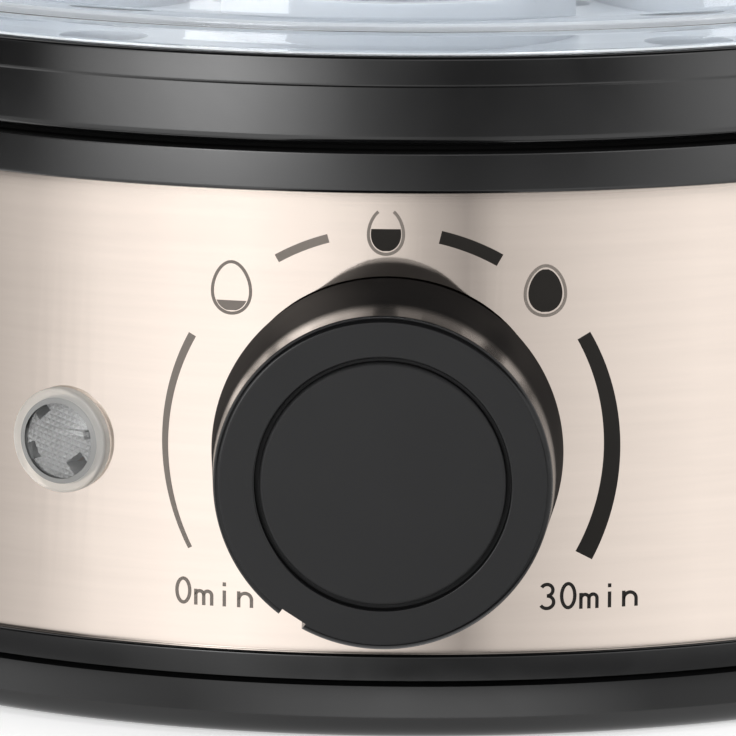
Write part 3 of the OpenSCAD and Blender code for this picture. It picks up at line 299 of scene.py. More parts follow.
@dataclass(frozen=True)
class Finish:
    """A finish with a colour and a roughness."""

    name: str
    colour: Colour
    roughness: float

    def material(self) -> bpy.types.Material:
        """The finish's material, made on first use.

        Returns:
            The material.
        """
        known = bpy.data.materials.get(self.name)
        if known:
            return known
        made = bare_material(self.name)
        show(made.node_tree, self.wire(made.node_tree))
        made.diffuse_color = (*self.colour, 1)
        return made

    def wire(self, tree: Tree) -> bpy.types.Node:
        """Wires the finish's shader.

        Args:
            tree: The material's empty tree.

        Returns:
            The shader node.
        """
        raise NotImplementedError

    def shaded(self, tree: Tree, mask: Socket, shares: Point) -> Socket:
        """The finish's colour, darker and lighter by two shares as a mask goes from 0 to 1."""
        first, second = (tuple(min(1.0, part * share) for part in self.colour) for share in shares)
        return tint(tree, mask, first, second)

    def worn(self, tree: Tree, marks: float, most: float) -> Socket:
        """The finish's roughness, which handling marks of a size per metre raise to a highest value."""
        mask = EFFECTS.use(tree, EFFECTS.marks, Size=marks).outputs["Mask"]
        return spread(tree, mask, self.roughness, most)


@dataclass(frozen=True)
class Moulding(Finish):
    """Moulded plastic or rubber with a fine grain and faint handling marks."""

    grain: float = 2500.0
    depth: float = 0.004
    unevenness: float = 0.05
    specular: float = 0.5
    marks: float = 45.0
    mottle: Point = (0.9, 1.12)

    def wire(self, tree: Tree) -> bpy.types.Node:
        """Wires grain into the normal and marks into colour and roughness.

        Args:
            tree: The material's empty tree.

        Returns:
            The shader node.
        """
        grain = EFFECTS.use(tree, EFFECTS.grain, Size=self.grain)
        return node(tree, "ShaderNodeBsdfPrincipled", {
            "Base Color": self.shaded(tree, grain.outputs["Mottle"], self.mottle),
            "Roughness": self.worn(tree, self.marks, self.roughness + self.unevenness),
            "Normal": bumped(tree, grain.outputs["Height"], self.depth),
            "Specular IOR Level": self.specular,
        })


@dataclass(frozen=True)
class Polished(Moulding):
    """Matte moulding that is polished toward its front, from one distance from the body's axis to another."""

    polish: Point = (97.3, 101.8)
    gloss: float = 0.18
    coat: float = 0.65

    def wire(self, tree: Tree) -> bpy.types.Node:
        """Wires the polish as a coat over the moulding.

        Args:
            tree: The material's empty tree.

        Returns:
            The shader node.
        """
        shader = super().wire(tree)
        at = node(tree, "ShaderNodeSeparateXYZ", {0: node(tree, "ShaderNodeTexCoord").outputs["Object"]})
        start, full = self.polish
        mask = node(tree, "ShaderNodeMapRange", {
            "Value": at.outputs["Y"], "From Min": -start * MM, "From Max": -full * MM,
            "To Max": self.coat}, interpolation_type="SMOOTHSTEP")
        tree.links.new(mask.outputs["Result"], shader.inputs["Coat Weight"])
        shader.inputs["Coat Roughness"].default_value = self.gloss
        return shader


@dataclass(frozen=True)
class Metal(Finish):
    """Metal with lines from brushing or spinning, or with none."""

    brush: Brush = Brush.PLAIN
    depth: float = 0.001
    unevenness: float = 0.06
    anisotropy: float = 0.0
    marks: float = 30.0
    mottle: Point = (0.94, 1.05)

    def wire(self, tree: Tree) -> bpy.types.Node:
        """Wires the lines into colour, roughness and normal.

        Args:
            tree: The material's empty tree.

        Returns:
            The shader node.
        """
        around, across = self.brush.value
        lines = EFFECTS.use(tree, EFFECTS.brushing, Around=around, Across=across)
        marks = EFFECTS.use(tree, EFFECTS.marks, Size=self.marks)
        both = math_node(tree, "ADD", marks.outputs["Mask"], lines.outputs["Streak"])
        uneven = math_node(tree, "MULTIPLY", both, 0.5)
        tangent = node(tree, "ShaderNodeTangent", direction_type="RADIAL", axis="Z")
        return node(tree, "ShaderNodeBsdfPrincipled", {
            "Base Color": self.shaded(tree, lines.outputs["Streak"], self.mottle),
            "Metallic": 1.0,
            "Roughness": spread(tree, uneven, self.roughness, self.roughness + self.unevenness),
            "Normal": bumped(tree, lines.outputs["Height"], self.depth),
            "Anisotropic": self.anisotropy,
            "Anisotropic Rotation": 0.25,
            "Tangent": tangent.outputs["Tangent"],
        })


@dataclass(frozen=True)
class Clear(Finish):
    """Clear plastic or glass that lets most light through to what it covers."""

    ior: float = 1.5
    shade: float = 0.2
    waviness: float = 0.01
    transmission: float = 1.0
    waves: float = 900.0
    marks: float = 35.0
    mottle: Point = (0.98, 1.02)
    scuff: float = 1.6

    def wire(self, tree: Tree) -> bpy.types.Node:
        """Wires faint waves and marks, and a pale shadow.

        Args:
            tree: The material's empty tree.

        Returns:
            The shader node.
        """
        grain = EFFECTS.use(tree, EFFECTS.grain, Size=self.waves)
        rays = node(tree, "ShaderNodeLightPath")
        let_by = math_node(tree, "MULTIPLY", rays.outputs["Is Shadow Ray"], 1.0 - self.shade)
        return node(tree, "ShaderNodeBsdfPrincipled", {
            "Base Color": self.shaded(tree, grain.outputs["Mottle"], self.mottle),
            "Roughness": self.worn(tree, self.marks, self.roughness * self.scuff),
            "Normal": bumped(tree, grain.outputs["Mottle"], self.waviness, strength=0.5),
            "Alpha": math_node(tree, "SUBTRACT", 1.0, let_by),
            "Transmission Weight": self.transmission,
            "IOR": self.ior,
        })


@dataclass(frozen=True)
class Milky(Finish):
    """Cloudy plastic or silicone that light soaks into."""

    soak: float = 2.0
    weight: float = 0.6
    grain: float = 1800.0
    depth: float = 0.004
    unevenness: float = 0.08
    marks: float = 40.0
    mottle: Point = (0.96, 1.03)

    def wire(self, tree: Tree) -> bpy.types.Node:
        """Wires a soft grain over a soaking shader.

        Args:
            tree: The material's empty tree.

        Returns:
            The shader node.
        """
        grain = EFFECTS.use(tree, EFFECTS.grain, Size=self.grain)
        return node(tree, "ShaderNodeBsdfPrincipled", {
            "Base Color": self.shaded(tree, grain.outputs["Mottle"], self.mottle),
            "Roughness": self.worn(tree, self.marks, self.roughness + self.unevenness),
            "Normal": bumped(tree, grain.outputs["Height"], self.depth),
            "Subsurface Weight": self.weight,
            "Subsurface Radius": (1.0, 1.0, 1.0),
            "Subsurface Scale": self.soak * MM,
        })


FINISHES: dict[Slot, Finish] = {
    Slot.BLACK_SHELL: Moulding("black shell plastic", (0.004, 0.004, 0.0042), 0.15, depth=0.0015,
                               specular=0.65),
    Slot.KNOB_BLACK: Moulding("glossy knob plastic", (0.004, 0.004, 0.0043), 0.10, depth=0.0006,
                              specular=0.6),
    Slot.KNOB_FACE: Moulding("satin knob face", (0.0155, 0.0155, 0.016), 0.5, depth=0.004, specular=0.3),
    Slot.CHAMPAGNE_STEEL: Metal("champagne brushed steel", (0.90, 0.785, 0.70), 0.04, Brush.ROUND,
                                depth=0.00015, unevenness=0.015),
    Slot.CLEAR_PLASTIC: Clear("clear lid plastic", (0.93, 0.95, 0.965), 0.03, 1.5),
    Slot.MILKY_PLASTIC: Milky("milky rack plastic", (0.44, 0.47, 0.51), 0.35),
    Slot.FOOT_RUBBER: Moulding("foot rubber", (0.02, 0.02, 0.02), 0.75, grain=1600.0, depth=0.012),
    Slot.SILICONE: Milky("pale silicone", (0.62, 0.62, 0.60), 0.5),
    Slot.DISH_STEEL: Metal("spun dish steel", (0.62, 0.62, 0.63), 0.28, Brush.SPUN, anisotropy=0.5),
    Slot.PLATED_STEEL: Metal("plated steel", (0.55, 0.56, 0.57), 0.25),
    Slot.PLATE_ALUMINIUM: Metal("cast aluminium", (0.58, 0.59, 0.60), 0.45, depth=0.01),
    Slot.ELEMENT_STEEL: Metal("element sheath", (0.30, 0.30, 0.31), 0.42, depth=0.004),
    Slot.BRASS_PARTS: Metal("plain brass", (0.60, 0.45, 0.18), 0.3),
    Slot.BLACK_NYLON: Moulding("black nylon", (0.018, 0.018, 0.018), 0.5, depth=0.008),
    Slot.BROWN_PHENOLIC: Moulding("brown phenolic", (0.10, 0.055, 0.03), 0.45),
    Slot.CREAM_PLASTIC: Moulding("cream plastic", (0.70, 0.66, 0.56), 0.5),
    Slot.FUSE_BODY: Moulding("fuse sleeve", (0.66, 0.62, 0.52), 0.7, grain=1400.0, depth=0.03),
    Slot.LAMP_INSERT: Moulding("grey lamp insert", (0.205, 0.198, 0.19), 0.4, depth=0.003),
    Slot.BULB_GLASS: Clear("glow bulb glass", (0.85, 0.45, 0.25), 0.02, 1.5),
    Slot.LIVE_INSULATION: Moulding("brown insulation", (0.18, 0.08, 0.04), 0.45),
    Slot.NEUTRAL_INSULATION: Moulding("blue insulation", (0.04, 0.11, 0.25), 0.45),
    Slot.EARTH_INSULATION: Moulding("green insulation", (0.27, 0.36, 0.04), 0.45),
    Slot.SLEEVE_INSULATION: Moulding("pale sleeving", (0.58, 0.56, 0.50), 0.6, grain=1600.0, depth=0.02),
}
DARK_INK = Moulding("dark dial ink", (0.012, 0.010, 0.008), 0.55, depth=0.002, specular=0.3)
GREY_INK = Moulding("grey dial ink", (0.22, 0.19, 0.165), 0.55, depth=0.002, specular=0.3)
RING_BLACK = Moulding("glossy ring plastic", (0.004, 0.004, 0.0042), 0.15, depth=0.0015, specular=0.9)
# Painted shade: a near-black finish that hardly reflects, for the faces in the groove between the trim ring
# and the boiler ring, so the groove reads dark as if in shade
GROOVE_SHADE_BLACK = Moulding("groove painted shade plastic", (0.003, 0.003, 0.003), 0.7, specular=0.05)
KNOB_SIDE = Polished("knob side plastic", (0.004, 0.004, 0.0043), 0.6, depth=0.002, specular=0.03)
LENS_EDGE = Moulding("frosted lens edge", (0.31, 0.308, 0.30), 0.35, depth=0.003)
# Painted highlight: a pale, bluish, half-diffuse finish for the flange's top faces alone, standing in for the
# highlight along the flange's upper edge
FLANGE_HIGHLIGHT = Clear("flange top painted highlight", (0.84, 0.88, 0.92), 0.15, 1.5, transmission=0.55)
LENS_RIM = Clear("frosted lens rim", (0.80, 0.775, 0.73), 0.3, 1.4, transmission=0.5)


# Meshes


def spaced(start: float, end: float, steps: int) -> list[float]:
    """Evenly spaced values from one to another, with both ends."""
    return [start + (end - start) * i / steps for i in range(steps + 1)]


def arc(centre: Point, radius: float, start: float, end: float, steps: int = 8) -> list[Point]:
    """Points of a circular arc.

    Args:
        centre: The arc's centre.
        radius: Its radius.
        start: Its first angle in degrees.
        end: Its last angle in degrees.
        steps: How many chords it has.

    Returns:
        The points, with both ends.
    """
    turns = [math.radians(turn) for turn in spaced(start, end, steps)]
    return [(centre[0] + radius * math.cos(turn), centre[1] + radius * math.sin(turn)) for turn in turns]


def facing(angle: float, height: float) -> Matrix:
    """Frame on the wall with X to the right, Y up and Z outward.

    Args:
        angle: Degrees from the front toward the right-hand side.
        height: Height over the table.

    Returns:
        The frame's matrix, in millimetres, with its origin on the body's axis.
    """
    upright = Matrix.Rotation(math.radians(90), 4, "X")
    return Matrix.Translation((0, 0, height)) @ Matrix.Rotation(math.radians(angle), 4, "Z") @ upright


def around(radius: float, angles: Iterable[float]) -> list[Matrix]:
    """Upright frames at a radius and several angles."""
    return [Matrix.Translation((radius * math.cos(math.radians(a)), radius * math.sin(math.radians(a)), 0))
            for a in angles]


def smooth(mesh: bpy.types.Mesh) -> None:
    """Shades a mesh smooth and keeps its crisp edges crisp."""
    mesh.polygons.foreach_set("use_smooth", [True] * len(mesh.polygons))
    mesh.set_sharp_from_angle(angle=math.radians(CRISP_ANGLE))


def solid(name: str, points: Iterable[Sequence[float]], faces: Iterable[Sequence[int]],
          placed: Matrix = Matrix()) -> Piece:
    """Makes a closed mesh object.

    Args:
        name: The object's name.
        points: Corners in millimetres.
        faces: Corner numbers of each face.
        placed: Frame that the corners are in.

    Returns:
        The new object, linked to the scene.
    """
    build = bmesh.new()
    corners = [build.verts.new((placed @ Vector(point)) * MM) for point in points]
    for face in faces:
        build.faces.new([corners[i] for i in face])
    bmesh.ops.recalc_face_normals(build, faces=build.faces)
    mesh = bpy.data.meshes.new(name)
    build.to_mesh(mesh)
    build.free()
    smooth(mesh)
    piece = bpy.data.objects.new(name, mesh)
    bpy.context.scene.collection.objects.link(piece)
    return piece


def revolve(name: str, outline: Sequence[Point], placed: Matrix = Matrix(),
            segments: int = ROUND) -> Piece:
    """Turns a closed outline about an axis.

    Args:
        name: The object's name.
        outline: Points as radius and height, where a radius of 0 lies on the axis.
        placed: Frame whose Z is the axis.
        segments: Faces round the axis.

    Returns:
        The new object.
    """
    points: list[Place] = []
    rings: list[list[int]] = []
    for radius, height in outline:
        count = segments if radius > 0 else 1
        rings.append(list(range(len(points), len(points) + count)))
        turns = [math.tau * k / segments for k in range(count)]
        points += [(radius * math.cos(turn), radius * math.sin(turn), height) for turn in turns]
    faces: list[list[int]] = []
    for first, second in zip(rings, rings[1:] + rings[:1]):
        if len(first) == len(second) == 1:
            continue
        for k in range(segments):
            after = (k + 1) % segments
            corners = [first[k % len(first)], first[after % len(first)], second[after % len(second)],
                       second[k % len(second)]]
            faces.append(list(dict.fromkeys(corners)))
    return solid(name, points, faces, placed)


def rod(radius: float, low: float, high: float, placed: Matrix = Matrix(),
        segments: int = SMALL_ROUND) -> Piece:
    """Makes a round tool for cutting or joining."""
    return revolve("tool", [(0, low), (radius, low), (radius, high), (0, high)], placed, segments)


def block(low: Place, high: Place, placed: Matrix = Matrix()) -> Piece:
    """Makes a square tool between two corners.

    Args:
        low: Its lowest corner.
        high: Its highest corner.
        placed: Frame that the corners are in.

    Returns:
        The tool.
    """
    points = [(x, y, z) for x in (low[0], high[0]) for y in (low[1], high[1]) for z in (low[2], high[2])]
    faces = [(0, 1, 3, 2), (4, 6, 7, 5), (0, 4, 5, 1), (2, 3, 7, 6), (0, 2, 6, 4), (1, 5, 7, 3)]
    return solid("tool", points, faces, placed)


def carve(piece: Piece, tools: Iterable[Piece], how: Cut = Cut.AWAY) -> Piece:
    """Cuts tools out of a piece, or joins them to it, and removes them.

    Args:
        piece: The piece to change.
        tools: Objects to cut away or join.
        how: Which of the two.

    Returns:
        The piece.
    """
    used = list(tools)
    for tool in used:
        change = piece.modifiers.new("shape", "BOOLEAN")
        change.operation = how.value
        change.solver = "EXACT"
        change.object = tool
    graph = bpy.context.evaluated_depsgraph_get()
    shaped = bpy.data.meshes.new_from_object(piece.evaluated_get(graph))
    piece.modifiers.clear()
    piece.data = shaped
    smooth(shaped)
    for tool in used:
        bpy.data.objects.remove(tool)
    return piece


def place(piece: Piece, body: Body, slot: Slot, *nodes: str, finish: Finish | None = None) -> None:
    """Dresses a piece, and makes it ride on a body and stand for solids.

    Args:
        piece: The finished mesh.
        body: The body that it moves with.
        slot: The record's slot for its finish.
        nodes: Solids that it stands for.
        finish: A finish of its own, where the slot's isn't used.
    """
    piece.data.materials.clear()
    piece.data.materials.append((finish or FINISHES[slot]).material())
    shading = piece.modifiers.new("even shading", "WEIGHTED_NORMAL")
    shading.keep_sharp = True
    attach(piece, body.value)
    if nodes:
        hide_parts(*nodes)
    LOG.info("%s: %d faces on body %s", piece.name, len(piece.data.polygons), body.value)


def repaint(piece: Piece, finish: Finish, chosen: Callable[[Side], bool]) -> None:
    """Gives some faces of a dressed piece another finish.

    Args:
        piece: The piece.
        finish: The other finish.
        chosen: Tells which faces get it.
    """
    piece.data.materials.append(finish.material())
    index = len(piece.data.materials) - 1
    for side in piece.data.polygons:
        if chosen(side):
            side.material_index = index


# Sub-assemblies


@dataclass
class BaseShell:
    """Black base with a groove between its two bands, vents below and pillars inside."""

    radius: float = 86.4
    rim_round: float = 3.0
    lower_top: float = 6.4
    groove: Point = (85.4, 6.7)
    upper_r: float = 86.0
    upper_low: float = 7.0
    upper_top: float = 10.0
    lip_round: float = 0.4
    band_seat: tuple[float, float, float] = (85.1, 84.1, 8.1)
    wall_top: float = 13.0
    wall_in_r: float = 81.8
    floor_z: Point = (2.2, 4.5)
    rim_in_r: float = 79.8
    pillar_r: float = 4.0
    pillar_top: float = 49.9
    well_r: float = 2.9
    well_top: float = 6.8
    screw_r: float = 1.6
    foot_r: float = 2.6
    foot_at: float = 60.0
    foot_angles: tuple[float, ...] = (45.0, 135.0, 225.0, 315.0)
    vent: Point = (34.0, 3.0)
    vent_pitch: float = 9.0
    vents: int = 5
    spare: float = 1.0

    def outline(self) -> list[Point]:
        """Section of the shell from its lower rim, over the wall and along the floor.

        Returns:
            Its points as radius and height.
        """
        seat_r, wall_r, seat_z = self.band_seat
        low, top = self.floor_z
        lip = (self.upper_r - self.lip_round, self.upper_top - self.lip_round)
        return [
            *arc((self.radius - self.rim_round, self.rim_round), self.rim_round, -90, 0, 12),
            (self.radius, self.lower_top), self.groove, (self.upper_r, self.upper_low),
            *arc(lip, self.lip_round, 0, 90, 6), (seat_r, self.upper_top), (seat_r, seat_z), (wall_r, seat_z),
            (wall_r, self.wall_top), (self.wall_in_r, self.wall_top), (self.wall_in_r, top), (0, top),
            (0, low), (self.rim_in_r, low), (self.rim_in_r, 0)]

    def build(self) -> None:
        """Makes the shell with its pillars, wells, holes and vents."""
        low, top = self.floor_z
        shell = revolve("base_moulding", self.outline())
        pillars = around(SCREW_AT, SCREW_ANGLES)
        carve(shell, [rod(self.pillar_r, (low + top) / 2, self.pillar_top, at) for at in pillars], Cut.JOIN)
        cuts = [rod(self.well_r, low - self.spare, self.well_top, at) for at in pillars]
        cuts += [rod(self.screw_r, low, self.pillar_top + self.spare, at) for at in pillars]
        feet = around(self.foot_at, self.foot_angles)
        cuts += [rod(self.foot_r, low - self.spare, top + self.spare, at) for at in feet]
        length, width = self.vent
        for i in range(self.vents):
            y = (i - (self.vents - 1) / 2) * self.vent_pitch
            cuts.append(block((-length / 2, y - width / 2, low - self.spare),
                              (length / 2, y + width / 2, top + self.spare)))
        place(carve(shell, cuts), Body.BASE, Slot.BLACK_SHELL, "base_shell")


@dataclass
class SteelBand:
    """Champagne band, brushed round the body, with holes for the timer, the lamp and the gland."""

    thickness: float = 0.8
    low: float = 8.1
    top: float = 65.2
    shaft_r: float = 4.4
    screw_r: float = 1.6
    screw_at: float = 11.0
    lamp_r: float = 5.1
    gland_z: float = 24.0
    gland_r: float = 5.7
    reach: Point = (70.0, 90.0)

    def build(self) -> None:
        """Makes the band and cuts its holes."""
        inner = WALL_R - self.thickness
        band = revolve("band_sheet", [(inner, self.low), (WALL_R, self.low), (WALL_R, self.top),
                                      (inner, self.top)])
        dial = facing(0, DIAL_Z)
        holes = [rod(self.shaft_r, *self.reach, dial)]
        holes += [rod(self.screw_r, *self.reach, dial @ Matrix.Translation((side * self.screw_at, 0, 0)))
                  for side in (-1, 1)]
        holes.append(rod(self.lamp_r, *self.reach, facing(LAMP_ANGLE, LAMP_Z)))
        holes.append(rod(self.gland_r, *self.reach, facing(180, self.gland_z)))
        place(carve(band, holes), Body.BASE, Slot.CHAMPAGNE_STEEL, "steel_band")


@dataclass
class Rings:
    """Black trim ring over the band and boiler ring above it, which carries the lid."""

    trim_r: float = 86.0
    trim_z: Point = (63.3, 68.2)
    trim_round: float = 0.5
    band_slot: Point = (84.1, 85.1)
    band_top: float = 65.2
    curb_r: float = 81.8
    skirt_low: float = 61.3
    boss_r: float = 4.0
    boss_z: Point = (50.0, 64.9)
    screw: Point = (1.6, 59.0)
    land_r: float = 84.5
    ring_r: float = 86.0
    ring_low: float = 68.7
    ring_round: float = 1.2
    crease: tuple[Point, ...] = ((86.0, 75.45), (85.84, 75.6), (85.875, 75.85))
    edge_r: float = 85.8
    edge_z: float = 79.0
    edge_round: float = 0.5
    lid_seat_r: float = 80.3
    rack_ledge: Point = (73.2, 75.4)
    dish_ledge: Point = (65.5, 66.4)
    under_z: float = 63.4
    hollow_r: Point = (75.5, 79.4)
    hollow_top: float = 73.1
    spigot_r: float = 81.7
    spare: float = 1.0
    downward: float = -0.8

    def trim(self) -> list[Point]:
        """Section of the trim ring.

        Returns:
            Its points as radius and height.
        """
        low, high = self.trim_z
        across = self.trim_r - self.trim_round
        slot_in, slot_out = self.band_slot
        return [
            (slot_out, low), *arc((across, low + self.trim_round), self.trim_round, -90, 0),
            *arc((across, high - self.trim_round), self.trim_round, 0, 90), (self.land_r, high),
            (self.land_r, self.ring_low), (self.curb_r, self.ring_low), (self.curb_r, self.skirt_low),
            (slot_in, self.skirt_low), (slot_in, self.band_top), (slot_out, self.band_top)]

    def boiler(self) -> list[Point]:
        """Section of the boiler ring: outer band, crease, upper band, lid seat, rack step and dish ledge.

        Returns:
            Its points as radius and height.
        """
        lower = (self.ring_r - self.ring_round, self.ring_low + self.ring_round)
        corner = (self.edge_r - self.edge_round, self.edge_z - self.edge_round)
        rack_r, rack_z = self.rack_ledge
        dish_r, dish_z = self.dish_ledge
        inner, outer = self.hollow_r
        return [
            (self.spigot_r, self.ring_low), *arc(lower, self.ring_round, -90, 0, 12), *self.crease,
            *arc(corner, self.edge_round, 0, 90), (self.lid_seat_r, self.edge_z), (self.lid_seat_r, rack_z),
            (rack_r, rack_z), (rack_r, dish_z), (dish_r, dish_z), (dish_r, self.under_z),
            (inner, self.under_z), (inner, self.hollow_top), (outer, self.hollow_top), (outer, self.under_z),
            (self.spigot_r, self.under_z)]

    def build(self) -> None:
        """Makes both rings."""
        trim = revolve("trim_moulding", self.trim())
        place(trim, Body.BASE, Slot.BLACK_SHELL, "trim_ring", finish=RING_BLACK)
        # Painted shade: the trim ring's top faces, under the boiler ring's overhang, get the dull near-black
        # groove finish
        repaint(trim, GROOVE_SHADE_BLACK, lambda side: side.center.z > (self.trim_z[1] - self.trim_round / 2) * MM)
        ring = revolve("boiler_moulding", self.boiler())
        bosses = around(SCREW_AT, SCREW_ANGLES)
        carve(ring, [rod(self.boss_r, *self.boss_z, at) for at in bosses], Cut.JOIN)
        screw_r, screw_top = self.screw
        carve(ring, [rod(screw_r, self.boss_z[0] - self.spare, screw_top, at) for at in bosses])
        place(ring, Body.BASE, Slot.BLACK_SHELL, "boiler_ring", finish=RING_BLACK)
        # Painted shade: the boiler ring's downward faces, over the groove, get the dull near-black groove
        # finish
        repaint(ring, GROOVE_SHADE_BLACK, lambda side: side.normal.z < self.downward)


@dataclass
class TimerKnob:
    """Timer knob with a notch in its side and a cap set into its face behind a groove."""

    foot: Point = (20.0, 85.6)
    face_r: float = 19.0
    face: float = 104.2
    edge: float = 0.9
    inner_r: float = 17.0
    inner: float = 99.2
    hub: Point = (5.2, 88.8)
    bore: Point = (3.05, 100.6)
    pocket: Point = (13.85, 101.8)
    groove: Point = (14.3, 103.1)
    groove_round: float = 0.3
    cap_r: float = 13.8
    cap_bevel: float = 0.4
    notch: Point = (3.1, 0.9)
    notch_turn: float = -33.0
    spare: float = 1.0
    front: float = -0.97

    def outline(self) -> list[Point]:
        """Section of the knob as radius and distance from the body's axis.

        Returns:
            Its points.
        """
        foot_r, foot = self.foot
        groove_r, groove = self.groove
        pocket_r, pocket = self.pocket
        bore_r, bore = self.bore
        hub_r, hub = self.hub
        rim = (groove_r + self.groove_round, self.face - self.groove_round)
        return [
            (foot_r, foot), *arc((self.face_r - self.edge, self.face - self.edge), self.edge, 0, 90, 12),
            *arc(rim, self.groove_round, 90, 180, 6), (groove_r, groove), (pocket_r, groove),
            (pocket_r, pocket), (0, pocket), (0, bore), (bore_r, bore), (bore_r, hub), (hub_r, hub),
            (hub_r, self.inner), (self.inner_r, self.inner), (self.inner_r, foot)]

    def build(self) -> None:
        """Makes the knob and its cap."""
        at = facing(0, DIAL_Z)
        knob = revolve("knob_moulding", self.outline(), at)
        width, depth = self.notch
        down = at @ Matrix.Rotation(math.radians(self.notch_turn), 4, "Z")
        carve(knob, [block((-width / 2, -self.foot[0] - self.spare, self.foot[1] - self.spare),
                           (width / 2, depth - self.face_r, self.face + self.spare), down)])
        place(knob, Body.KNOB, Slot.KNOB_BLACK, "timer_knob", finish=KNOB_SIDE)
        repaint(knob, FINISHES[Slot.KNOB_FACE], lambda side: side.normal.y < self.front)
        corner = (self.cap_r - self.cap_bevel, self.face - self.cap_bevel)
        cap = revolve("knob_cap_disc", [
            (0, self.pocket[1]), (self.cap_r, self.pocket[1]), *arc(corner, self.cap_bevel, 0, 90, 6),
            (0, self.face)], at)
        place(cap, Body.KNOB, Slot.KNOB_FACE, "knob_cap")


@dataclass(frozen=True)
class Notch:
    """Notch in the edge of the lamp's insert, with its angle from the right-hand side."""

    turn: float
    depth: float
    width: float


@dataclass
class Lamp:
    """Clear lamp lens with a flat rim, and the knurled insert that shows through it."""

    body_r: float = 5.0
    inner_r: float = 4.4
    back: float = 71.2
    rim_r: float = 6.1
    rim: Point = (85.0, 86.2)
    rim_bevel: float = 0.4
    dome: float = 0.8
    insert_r: float = 4.3
    insert: Point = (78.0, 84.9)
    knurl: float = 0.42
    knurl_depth: float = 0.2
    knurl_turn: float = 30.0
    frost_r: float = 4.5
    margin: float = 0.1
    spare: float = 1.0
    notches: tuple[Notch, ...] = (Notch(14.0, 1.5, 1.0), Notch(130.0, 1.0, 1.8), Notch(203.0, 1.0, 1.9),
                                  Notch(308.0, 2.0, 2.2))

    def lens(self) -> list[Point]:
        """Section of the lens, from its open back to its crown.

        Returns:
            Its points as radius and height.
        """
        low, high = self.rim
        curve = (self.body_r ** 2 + self.dome ** 2) / (2 * self.dome)
        start = math.degrees(math.acos(self.body_r / curve))
        crown = arc((0, high + self.dome - curve), curve, start, 90, 16)[:-1]
        return [
            (self.inner_r, self.back), (self.body_r, self.back), (self.body_r, low), (self.rim_r, low),
            *arc((self.rim_r - self.rim_bevel, high - self.rim_bevel), self.rim_bevel, 0, 90, 6), *crown,
            (0, high + self.dome), (0, low), (self.inner_r, low)]

    def knurled_block(self, placed: Matrix) -> Piece:
        """Square block whose front is a grid of small pyramids.

        Args:
            placed: Frame that it stands in.

        Returns:
            The block.
        """
        low, high = self.insert
        rows = int(self.insert_r / self.knurl) + 1
        side = 2 * rows + 1
        points: list[Place] = []
        for i in range(side):
            for j in range(side):
                x, y = (i - rows) * self.knurl, (j - rows) * self.knurl
                points.append((x, y, high - self.knurl_depth * ((i + j) % 2)))
        faces: list[Sequence[int]] = []
        for i in range(side - 1):
            for j in range(side - 1):
                first, after = i * side + j, (i + 1) * side + j
                cell = [first, after, after + 1, first + 1]
                ridge = cell[(i + j) % 2:] + cell[:(i + j) % 2]
                faces += [ridge[:3], [ridge[0], *ridge[2:]]]
        back = len(points)
        edge = [i * side for i in range(side)] + [(side - 1) * side + j for j in range(1, side)]
        edge += [i * side + side - 1 for i in range(side - 2, -1, -1)] + list(range(side - 2, 0, -1))
        points += [(points[i][0], points[i][1], low) for i in edge]
        count = len(edge)
        faces += [(edge[k], edge[(k + 1) % count], back + (k + 1) % count, back + k) for k in range(count)]
        faces.append(list(range(back, back + count)))
        return solid("lamp_insert_disc", points, faces, placed)

    def insert_mesh(self, at: Matrix) -> Piece:
        """Knurled disc with notches in its edge.

        Args:
            at: Frame on the wall.

        Returns:
            The insert.
        """
        low, high = self.insert
        past, below, above = 3 * self.insert_r, low - self.spare, high + self.spare
        outside = [(self.insert_r, below), (past, below), (past, above), (self.insert_r, above)]
        disc = self.knurled_block(at @ Matrix.Rotation(math.radians(self.knurl_turn), 4, "Z"))
        cuts = [revolve("tool", outside, at, SMALL_ROUND)]
        for notch in self.notches:
            turned = at @ Matrix.Rotation(math.radians(notch.turn), 4, "Z")
            cuts.append(block((self.insert_r - notch.depth, -notch.width / 2, low + self.spare),
                              (self.insert_r + self.spare, notch.width / 2, above), turned))
        return carve(disc, cuts)

    def build(self) -> None:
        """Makes the lens and its insert."""
        at = facing(LAMP_ANGLE, LAMP_Z)
        lens = revolve("lamp_lens_moulding", self.lens(), at, SMALL_ROUND)
        place(lens, Body.BASE, Slot.CLEAR_PLASTIC, "lamp_lens")
        inward = at.inverted() @ Matrix.Scale(1 / MM, 4)

        def frosted(side: Side) -> bool:
            """Whether a face belongs to the tube or to the outer part of the crown.

            Args:
                side: A face of the lens.

            Returns:
                True for such a face.
            """
            spot = inward @ side.center
            rise = spot.z - self.rim[0]
            return rise < -self.margin or rise > self.margin and spot.xy.length > self.frost_r

        repaint(lens, LENS_EDGE, frosted)
        repaint(lens, LENS_RIM, lambda side: frosted(side) and (inward @ side.center).xy.length > self.body_r)
        place(self.insert_mesh(at), Body.BASE, Slot.LAMP_INSERT, "lamp_reflector")


